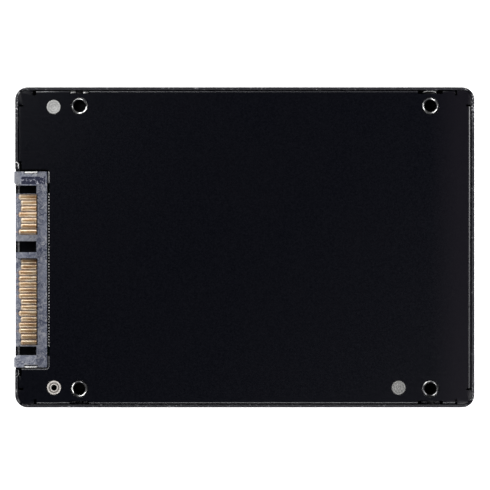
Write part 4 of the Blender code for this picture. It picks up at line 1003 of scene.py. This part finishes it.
def make_shoulders(name, x, side):
    """What shows of a block in the gap of the folded edge: two pads, or one arched lip."""
    arched = name == "mount_block_rear_left"
    slope_in, slope_down = SHOULDER_SLOPE
    bm = bmesh.new()
    for start, end in LIP_SPAN if arched else PAD_SPANS:
        rings = []
        for i in range(7):
            part = i / 6
            swell = 1.0 - (2.0 * part - 1.0) ** 2
            if arched:
                y_out = HALF_WIDTH - LIP_INSET + LIP_BOW * swell
                y_in = y_out - LIP_THICK
            else:
                y_out, y_in = (HALF_WIDTH - inset for inset in PAD_INSETS)
            u = x + start + (end - start) * part
            crest = SHOULDER_Z + SHOULDER_CROWN * swell
            section = [
                (y_in, SHOULDER_FOOT_Z), (y_out, SHOULDER_FOOT_Z), (y_out, crest - slope_down),
                (y_in + slope_in, crest), (y_in, crest),
            ]
            rings.append([(u, side * v, z) for v, z in section])
        loft(bm, rings)
    shoulders = mesh_object(name + "_shoulders", bm, (SHOULDER_LOOKS.get(name, "rim_coat"),))
    dress(shoulders, bevel=SHOULDER_BEVEL)


def make_block(name):
    place = centre_of(name)
    x, side = place.x, 1 if place.y > 0 else -1
    block = block_body(name, x, side)
    bore(block, x, side)
    make_shoulders(name, x, side)
    for polygon in block.data.polygons:
        spot = polygon.center
        upright = math.hypot(spot.x - x, spot.y - side * HOLE_Y)
        across = math.hypot(spot.x - x, spot.z - SIDE_HOLE_Z)
        # Bore faces and the side collar's outside take the near-black thread look: painted shade.
        in_bore = upright < MAJOR_RADIUS and spot.z < COLLAR_TOP_Z - CHAMFER or across < MAJOR_RADIUS
        beside_collar = abs(spot.y) > BLOCK_OUTER_Y and abs(polygon.normal.y) < 0.1
        polygon.material_index = int(in_bore or beside_collar)
    dress(block, (name,))


def make_rivets():
    for name, place in RIVETS.items():
        hollow = RIVET_LOOKS[name] == "rivet_ring"
        if hollow:
            place = place + HOLLOW_SHIFT
        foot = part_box(name)[0].z
        tip, shank = RIVET_SHANK
        profile = [(tip, foot), (shank, foot + CHAMFER), (shank, SHEET_Z)]
        head = RIVET_HOLLOW if hollow else RIVET_FLAT
        profile += [(radius * MM, RIVET_TOP_Z - steps * RIVET_STEP) for radius, steps in head]
        if hollow:
            profile.append((RIVET_EYE_RADIUS, RIVET_TOP_Z - RIVET_EYE_DEPTH))
        bm = bmesh.new()
        turned(bm, place.x, place.y, profile, 48)
        rivet = mesh_object(name + "_head", bm, (RIVET_LOOKS[name], "rivet_groove_painted_shade", "thread"))
        # Hollow rivet: darker groove and near-black eye, both painted shade.
        for polygon in rivet.data.polygons if hollow else ():
            reach = (polygon.center - place).to_2d().length
            if RIVET_GROOVE[0] < reach < RIVET_GROOVE[1] and polygon.center.z > SHEET_Z:
                polygon.material_index = 1
            elif reach < RIVET_EYE_RADIUS * 1.1:
                polygon.material_index = 2
        dress(rivet, (name,))


# ---- connector -------------------------------------------------------------------------------
CONTACTS = [f"signal_contact_{i}" for i in range(1, 8)] + [f"power_contact_{i}" for i in range(1, 16)]


def guide_rings(inner_y, outer_y):
    back = CAVITY_BACK_X + JOIN
    along, across = GUIDE_BEVEL
    inward = across if outer_y > inner_y else -across
    rings = []
    levels = [(HOUSING_FOOT, GUIDE_LEAD), (HOUSING_FOOT + GUIDE_LEAD, 0.0)]
    levels += [(HOUSING_TOP - drop, lead) for drop, lead in GUIDE_NOSE]
    for z, lead in levels:
        front = X_FRONT + lead
        plan = [
            (back, inner_y), (front + along, inner_y), (front, inner_y + inward),
            (front, outer_y), (back, outer_y),
        ]
        rings.append([(x, y, z) for x, y in plan])
    return rings


def tongue_rings(low, high):
    nose, back = TONGUE_NOSE, CAVITY_BACK_X + JOIN
    profile = [
        (TONGUE_X, TONGUE_Z0 + nose), (TONGUE_X + nose, TONGUE_Z0), (back, TONGUE_Z0),
        (back, TONGUE_Z1), (TONGUE_X + nose, TONGUE_Z1), (TONGUE_X, TONGUE_Z1 - nose),
    ]
    return [[(x, y, z) for x, z in profile] for y in (low, high)]


def housing_body():
    """Back wall, guides, tongues with their key legs, and the ears on the board."""
    bm = bmesh.new()
    box(bm, (CAVITY_BACK_X, HOUSING_REAR_X), HOUSING_Y, (HOUSING_FOOT, HOUSING_TOP))
    looks = ("plastic", "plastic_painted_highlight", "plastic_painted_shade", "plastic_etched")
    housing = mesh_object("moulded_housing", bm, looks)
    bm = bmesh.new()
    for inner_y, outer_y in (GUIDE_HIGH, GUIDE_LOW):
        loft(bm, guide_rings(inner_y, outer_y))
    for low, high in (SIGNAL_TONGUE, POWER_TONGUE):
        loft(bm, tongue_rings(low, high))
    join(housing, bm)
    bm = bmesh.new()
    x_pair, z_pair = (TONGUE_X + TONGUE_NOSE, CAVITY_BACK_X + JOIN), (TONGUE_Z1 - JOIN, KEY_TOP_Z)
    box(bm, x_pair, (SIGNAL_TONGUE[0], SIGNAL_TONGUE[0] + KEY_WIDTH), z_pair)
    box(bm, x_pair, (POWER_TONGUE[1] - KEY_WIDTH, POWER_TONGUE[1]), z_pair)
    for y_pair in EARS:
        box(bm, (HOUSING_REAR_X - JOIN, EAR_X), y_pair, EAR_Z)
    join(housing, bm)
    return housing


def contact_cuts(x0, x1, z_pair):
    """A box for every contact, a little wider than its skirt; without x0 it starts at the tip."""
    bm = bmesh.new()
    for name in CONTACTS:
        tip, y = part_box(name)[0].x, centre_of(name).y
        start = tip - GROOVE_CLEAR if x0 is None else x0
        box(bm, (start, x1), (y - GROOVE_HALF, y + GROOVE_HALF), z_pair)
    return bm


def shade_housing(housing):
    """Give key top, eased edges and guide nose the lighter look as painted highlight, wall notches the darker
    one as painted shade, and the etched patch its own look.
    """
    for polygon in housing.data.polygons:
        spot, facing = polygon.center, polygon.normal
        in_guide = spot.y > GUIDE_HIGH[0] or spot.y < GUIDE_LOW[0]
        at_notch = CAVITY_BACK_X + GROOVE_CLEAR < spot.x < CAVITY_BACK_X + 1.2 * WALL_NOTCH
        at_pocket = POCKET_SHADE_X[0] < spot.x < POCKET_SHADE_X[1]
        patch_floor = abs(spot.z - HOUSING_TOP + PATCH_DEPTH) < PATCH_DEPTH / 4 and facing.z > 0.9
        eased = 0.6 < facing.z < 0.95 and abs(facing.y) > 0.3 and at_pocket
        key_top = abs(spot.z - KEY_TOP_Z) < GROOVE_CLEAR and 0.0 < spot.y < GUIDE_HIGH[0]
        nose = spot.y > GUIDE_HIGH[0] and 0.2 < facing.z < 0.99 and spot.x < X_FRONT + GUIDE_NOSE[-1][1]
        if in_guide and eased or key_top or nose:
            polygon.material_index = 1
        elif at_notch and facing.z < 0.5:
            polygon.material_index = 2
        elif in_guide and patch_floor and spot.x > X_CASE + MM:
            polygon.material_index = 3


def make_housing():
    housing = housing_body()
    cut(housing, contact_cuts(None, HOUSING_REAR_X + CUT_PAST, GROOVE_Z))
    notch = (CAVITY_BACK_X - CUT_PAST, CAVITY_BACK_X + WALL_NOTCH)
    cut(housing, contact_cuts(*notch, (TONGUE_Z1 + JOIN, HOUSING_TOP + CUT_PAST)))
    cut(housing, lock_pockets(LOCK_X[0], LOCK_X[2] + LOCK_CLEAR, LOCK_Z[0], LOCK_Z[1] + LOCK_CLEAR))
    cut(housing, lock_pockets(LOCK_X[0], LOCK_X[1], LOCK_Z[1], HOUSING_TOP + CUT_PAST))
    ear_slot = (LOCK_X[2], HOUSING_REAR_X + CUT_PAST, EAR_Z[0] - 2 * LOCK_CLEAR, LOCK_Z[1])
    cut(housing, lock_pockets(*ear_slot))
    cut(housing, pocket_chamfers())
    cut(housing, etched_patch())
    shade_housing(housing)
    dress(housing, ("connector_housing",), HOUSING_BEVEL, segments=3)


def lock_pockets(x0, x1, z0, z1):
    """Room for both board locks over one stretch of the guides' outer sides."""
    bm = bmesh.new()
    for y, outward in HOUSING_SIDES:
        y_pair = (y - outward * LOCK_DEPTH, y + outward * CUT_PAST)
        box(bm, (x0 - LOCK_CLEAR, x1 + LOCK_CLEAR), y_pair, (z0 - LOCK_CLEAR, z1))
    return bm


def pocket_chamfers():
    """The eased inner edge of both lock pockets, as a wedge along each."""
    bm = bmesh.new()
    high = HOUSING_TOP + CUT_PAST
    for y, outward in HOUSING_SIDES:
        edge = y - outward * LOCK_DEPTH
        crest, foot = edge - outward * POCKET_EASE, edge + outward * LOCK_DEPTH / 4
        drop = 0.62 * abs(foot - crest)
        wedge = [(crest, HOUSING_TOP), (crest, high), (foot, high), (foot, HOUSING_TOP - drop)]
        x_pair = (LOCK_X[0] - LOCK_CLEAR, LOCK_X[1] + LOCK_CLEAR)
        loft(bm, [[(x, v, z) for v, z in wedge] for x in x_pair])
    return bm


def etched_patch():
    """A plain etched patch on one guide."""
    bm = bmesh.new()
    box(bm, PATCH_X, PATCH_Y, (HOUSING_TOP - PATCH_DEPTH, HOUSING_TOP + PATCH_DEPTH))
    return bm


def make_comb():
    """The row of fine teeth behind the housing that keeps the solder tails apart."""
    bm = bmesh.new()
    step = PITCH / 2
    first, last = centre_of(CONTACTS[0]).y + step, centre_of(CONTACTS[-1]).y - step
    x0, x1 = COMB_X
    for i in range(int(round((first - last) / step)) + 1):
        y = first - i * step
        rings = []
        for z, e in TOOTH_LEVELS:
            y0, y1 = y - TOOTH_HALF + e, y + TOOTH_HALF - e
            rings.append([(x0 + e, y0, z), (x1 - e, y0, z), (x1 - e, y1, z), (x0 + e, y1, z)])
        loft(bm, rings)
    box(bm, COMB_BAR_X, (last + TOOTH_HALF / 2, first - TOOTH_HALF / 2), COMB_BAR_Z)
    comb = mesh_object("tail_comb", bm, ("comb_tin", "gold_painted_shade"))
    # Teeth below COMB_DARK_Z take the near-black gold: painted shade in the slot.
    for polygon in comb.data.polygons:
        polygon.material_index = int(polygon.center.z < COMB_DARK_Z)
    dress(comb)


def contact_section(half, low, rise):
    """Cross-section of a coined contact, (y, z): a skirt, rounded shoulders and a narrow top."""
    points = [(-CONTACT_SKIRT * half, low), (CONTACT_SKIRT * half, low)]
    points += [(half * u, low + rise * v) for u, v in CONTACT_SHOULDER]
    return points + [(-half * u, low + rise * v) for u, v in reversed(CONTACT_SHOULDER)]


def contact_stations(low, high):
    """(x, foot z, half width, height) from the rounded tip to the end of the solder tail."""
    width, tail = CONTACT_WIDTH / 2, TAIL_WIDTH / 2
    stations = []
    for degrees in TIP_ANGLES:
        angle = math.radians(degrees)
        reach = TIP_LENGTH * (math.cos(math.radians(TIP_ANGLES[0])) - math.cos(angle))
        height = CONTACT_RISE * math.sin(angle)
        stations.append((low.x + reach, low.z, width * math.sin(angle) ** 0.5, height))
    for x in (CAVITY_BACK_X - GROOVE_CLEAR, CAVITY_BACK_X + JOIN):
        stations.append((x, low.z, width, CONTACT_RISE))
    rise = high.z - CONTACT_THICK
    tail_path = (
        (CAVITY_BACK_X + 2 * JOIN, low.z), (TAIL_BEND_X[0], low.z), (TAIL_BEND_X[1], rise), (high.x, rise),
    )
    return stations + [(x, z, tail, CONTACT_THICK) for x, z in tail_path]


def make_contact(name):
    low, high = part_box(name)
    y = centre_of(name).y
    bm = bmesh.new()
    rings = []
    for x, foot, half, height in contact_stations(low, high):
        rings.append([(x, y + v, z) for v, z in contact_section(half, foot, height)])
    loft(bm, rings)
    signal = name.startswith("signal")
    faces = ("gold", "gold_painted_highlight") if signal else ("gold_power", "gold_power_painted_highlight")
    contact = mesh_object(name + "_blade", bm, (*faces, "gold_painted_shade"))
    # Past the cavity's back wall the near-black gold paints shade; shoulders and tips take the paler gold as
    # painted highlight.
    for polygon in contact.data.polygons:
        if polygon.center.x > CAVITY_BACK_X:
            polygon.material_index = 2
        elif polygon.normal.z < 0.97 or polygon.center.x < low.x + TIP_LENGTH:
            polygon.material_index = 1
    dress(contact, (name,))


def make_stubs():
    """Cut carrier stubs at the tongue's nose, in front of the long contacts."""
    bm = bmesh.new()
    x0, foot, top = TONGUE_X + STUB_GAPS[0], TONGUE_Z1 - STUB_DROPS[1], TONGUE_Z1 + STUB_LIFT
    for name in CONTACTS:
        low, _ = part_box(name)
        if low.x < LONG_TIP_X + 2 * GROOVE_CLEAR:
            y, x1, w = centre_of(name).y, low.x - STUB_GAPS[1], STUB_HALF
            plan = ((x0, y - w), (x1, y - 0.7 * w), (x1, y + 0.7 * w), (x0, y + w))
            crown = [(u, v, TONGUE_Z1 - STUB_DROPS[0] if u == x0 else top) for u, v in plan]
            loft(bm, [[(u, v, foot) for u, v in plan], crown])
    dress(mesh_object("carrier_stubs", bm, ("copper",)))


def make_locks():
    for name, (y, outward) in zip(("board_lock_left", "board_lock_right"), HOUSING_SIDES):
        low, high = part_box(name)
        inner, ease = y - outward * LOCK_THICK[outward], LOCK_EASE
        z_leg, z_foot = LOCK_Z[1], EAR_Z[0]
        profile = [
            (low.x, low.z + ease), (low.x + ease, low.z), (LOCK_X[2], low.z), (LOCK_X[2], z_foot),
            (high.x, z_foot), (high.x, z_leg), (LOCK_X[1], z_leg), (LOCK_X[1], high.z - ease),
            (LOCK_X[1] - ease, high.z), (low.x + ease, high.z), (low.x, high.z - ease),
        ]
        bm = bmesh.new()
        rings = []
        for v, lift in ((inner, LOCK_LIFT), (y, LOCK_LIFT + LOCK_SLANT)):
            rings.append([(x, v, z + lift if z > LOCK_Z[1] + ease else z) for x, z in profile])
        loft(bm, rings)
        lock = mesh_object(name + "_strip", bm, ("lock_tin",))
        bm = bmesh.new()
        tip = high.y if outward > 0 else low.y
        box(bm, (LOCK_FOOT_X, high.x), (inner, tip), (z_foot, z_foot + LOCK_FOOT_THICK))
        join(lock, bm)
        dress(lock, (name,), LOCK_BEVEL)


# ---- label -----------------------------------------------------------------------------------
def make_label():
    """A blank label with one darker band and three tinted fields, all without lettering."""
    low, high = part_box("product_label")
    half_x, half_y = LABEL_HALF
    bm = bmesh.new()
    slab(bm, rounded_rectangle(-half_x, half_x, -half_y, half_y, CORNER_RADIUS, ARC_STEPS), low.z, high.z)
    dress(mesh_object("blank_label", bm, ("film",)), ("product_label",))
    skin = (low.z - PRINT_THICK, low.z)
    left, bottom, top = -half_x + LABEL_INSET, -half_y + LABEL_INSET, half_y - LABEL_INSET
    bm = bmesh.new()
    slab(bm, rounded_rectangle(left, -left, half_y - BAND_DEPTH, top, PRINT_CORNER, 4), *skin)
    dress(mesh_object("label_band", bm, ("ink",)))
    bm = bmesh.new()
    for i in range(3):
        x0 = left + i * FIELD_PITCH
        slab(bm, rounded_rectangle(x0, x0 + FIELD_WIDTH, bottom, FIELD_TOP, PRINT_CORNER, 4), *skin)
    dress(mesh_object("label_fields", bm, ("tint",)))


# ---- carried-over nodes ----------------------------------------------------------------------
def recolour():
    looks = (
        ("circuit_board", "board"), ("controller", "resin"), ("dram", "resin"), ("flash", "resin"),
        ("power_management", "resin"), ("power_inductor", "ferrite"), ("clock", "steel"),
        ("hold_up", "tantalum"), ("thermal", "gel"), ("spacer", "steel"),
    )
    for name, node in NODES.items():
        for stem, look in looks:
            if name.startswith(stem):
                node.data.materials.clear()
                node.data.materials.append(LOOK[look])


# ---- stage -----------------------------------------------------------------------------------
def make_floor():
    bm = bmesh.new()
    size = 4.0
    corners = ((-size, -size), (size, -size), (size, size), (-size, size))
    bm.faces.new([bm.verts.new((x, y, 0.0)) for x, y in corners])
    m = Shader("floor_white", (0.9, 0.9, 0.9), 0.9, specular=0.1)
    m.set("Emission Color", (1.0, 1.0, 1.0, 1.0))
    m.set("Emission Strength", 0.8)
    LOOK["floor"] = m.material
    floor = mesh_object("floor", bm, ("floor",))


def make_world():
    """Bright round the horizon and darker overhead, like a white tent with a top opening."""
    world = bpy.data.worlds.new("tent")
    bpy.context.scene.world = world
    world.use_nodes = True
    tree = world.node_tree
    place = tree.nodes.new("ShaderNodeTexCoord")
    split = tree.nodes.new("ShaderNodeSeparateXYZ")
    ramp = tree.nodes.new("ShaderNodeValToRGB")
    elements = ramp.color_ramp.elements
    elements[0].position, elements[0].color = 0.0, (0.2, 0.2, 0.2, 1.0)
    elements[1].position, elements[1].color = 0.9, (0.0182, 0.0197, 0.0242, 1.0)
    middle = elements.new(0.5)
    middle.color = (0.1, 0.1, 0.11, 1.0)
    tree.links.new(place.outputs["Generated"], split.inputs["Vector"])
    tree.links.new(split.outputs["Z"], ramp.inputs["Fac"])
    tree.links.new(ramp.outputs["Color"], tree.nodes["Background"].inputs["Color"])
    tree.nodes["Background"].inputs["Strength"].default_value = 1.0


def softbox(name, azimuth, elevation, distance, size, power):
    """A rectangular light that faces the drive from a compass angle and a height angle in degrees."""
    light = bpy.data.lights.new(name, "AREA")
    light.shape = "RECTANGLE"
    light.size, light.size_y = size
    light.energy = power
    lamp = bpy.data.objects.new(name, light)
    bpy.context.scene.collection.objects.link(lamp)
    turn, rise = math.radians(azimuth), math.radians(elevation)
    level = distance * math.cos(rise)
    place = Vector((level * math.cos(turn), level * math.sin(turn), distance * math.sin(rise)))
    lamp.location = place
    lamp.rotation_euler = (-place).to_track_quat("-Z", "Y").to_euler()


def make_lights():
    softbox("upper_left", 131, 35, 0.29, (0.3, 0.08), 0.9)
    softbox("lower_left", 246, 24, 0.26, (0.11, 0.05), 0.17)
    softbox("right", 17, 26, 0.17, (0.09, 0.09), 0.15)
    softbox("lower_right", 345, 44, 0.17, (0.06, 0.06), 0.036)
    softbox("bottom", 292, 44, 0.16, (0.14, 0.05), 0.1)
    softbox("near_left", 145, 50, 0.14, (0.05, 0.05), 0.008)


def make_camera():
    view = bpy.data.cameras.new("camera")
    camera = bpy.data.objects.new("camera", view)
    bpy.context.scene.collection.objects.link(camera)
    distance = 3.0
    span = 106.88 * MM
    view.sensor_width = 36.0
    view.lens = view.sensor_width * distance / span
    view.clip_start, view.clip_end = 0.05, 20.0
    middle_x = (X_CASE + X_END) / 2 + 0.05 * MM
    camera.location = (middle_x, 0.5 * MM, COVER_TOP + distance)
    bpy.context.scene.camera = camera
    bpy.context.scene.view_settings.view_transform = "Standard"


make_tray()
make_wall_ends()
make_cover()
make_notch_edge()
for block_name in BLOCK_NAMES:
    make_block(block_name)
make_rivets()
make_housing()
make_comb()
for contact_name in CONTACTS:
    make_contact(contact_name)
make_stubs()
make_locks()
make_label()
recolour()
make_floor()
make_world()
make_lights()
make_camera()
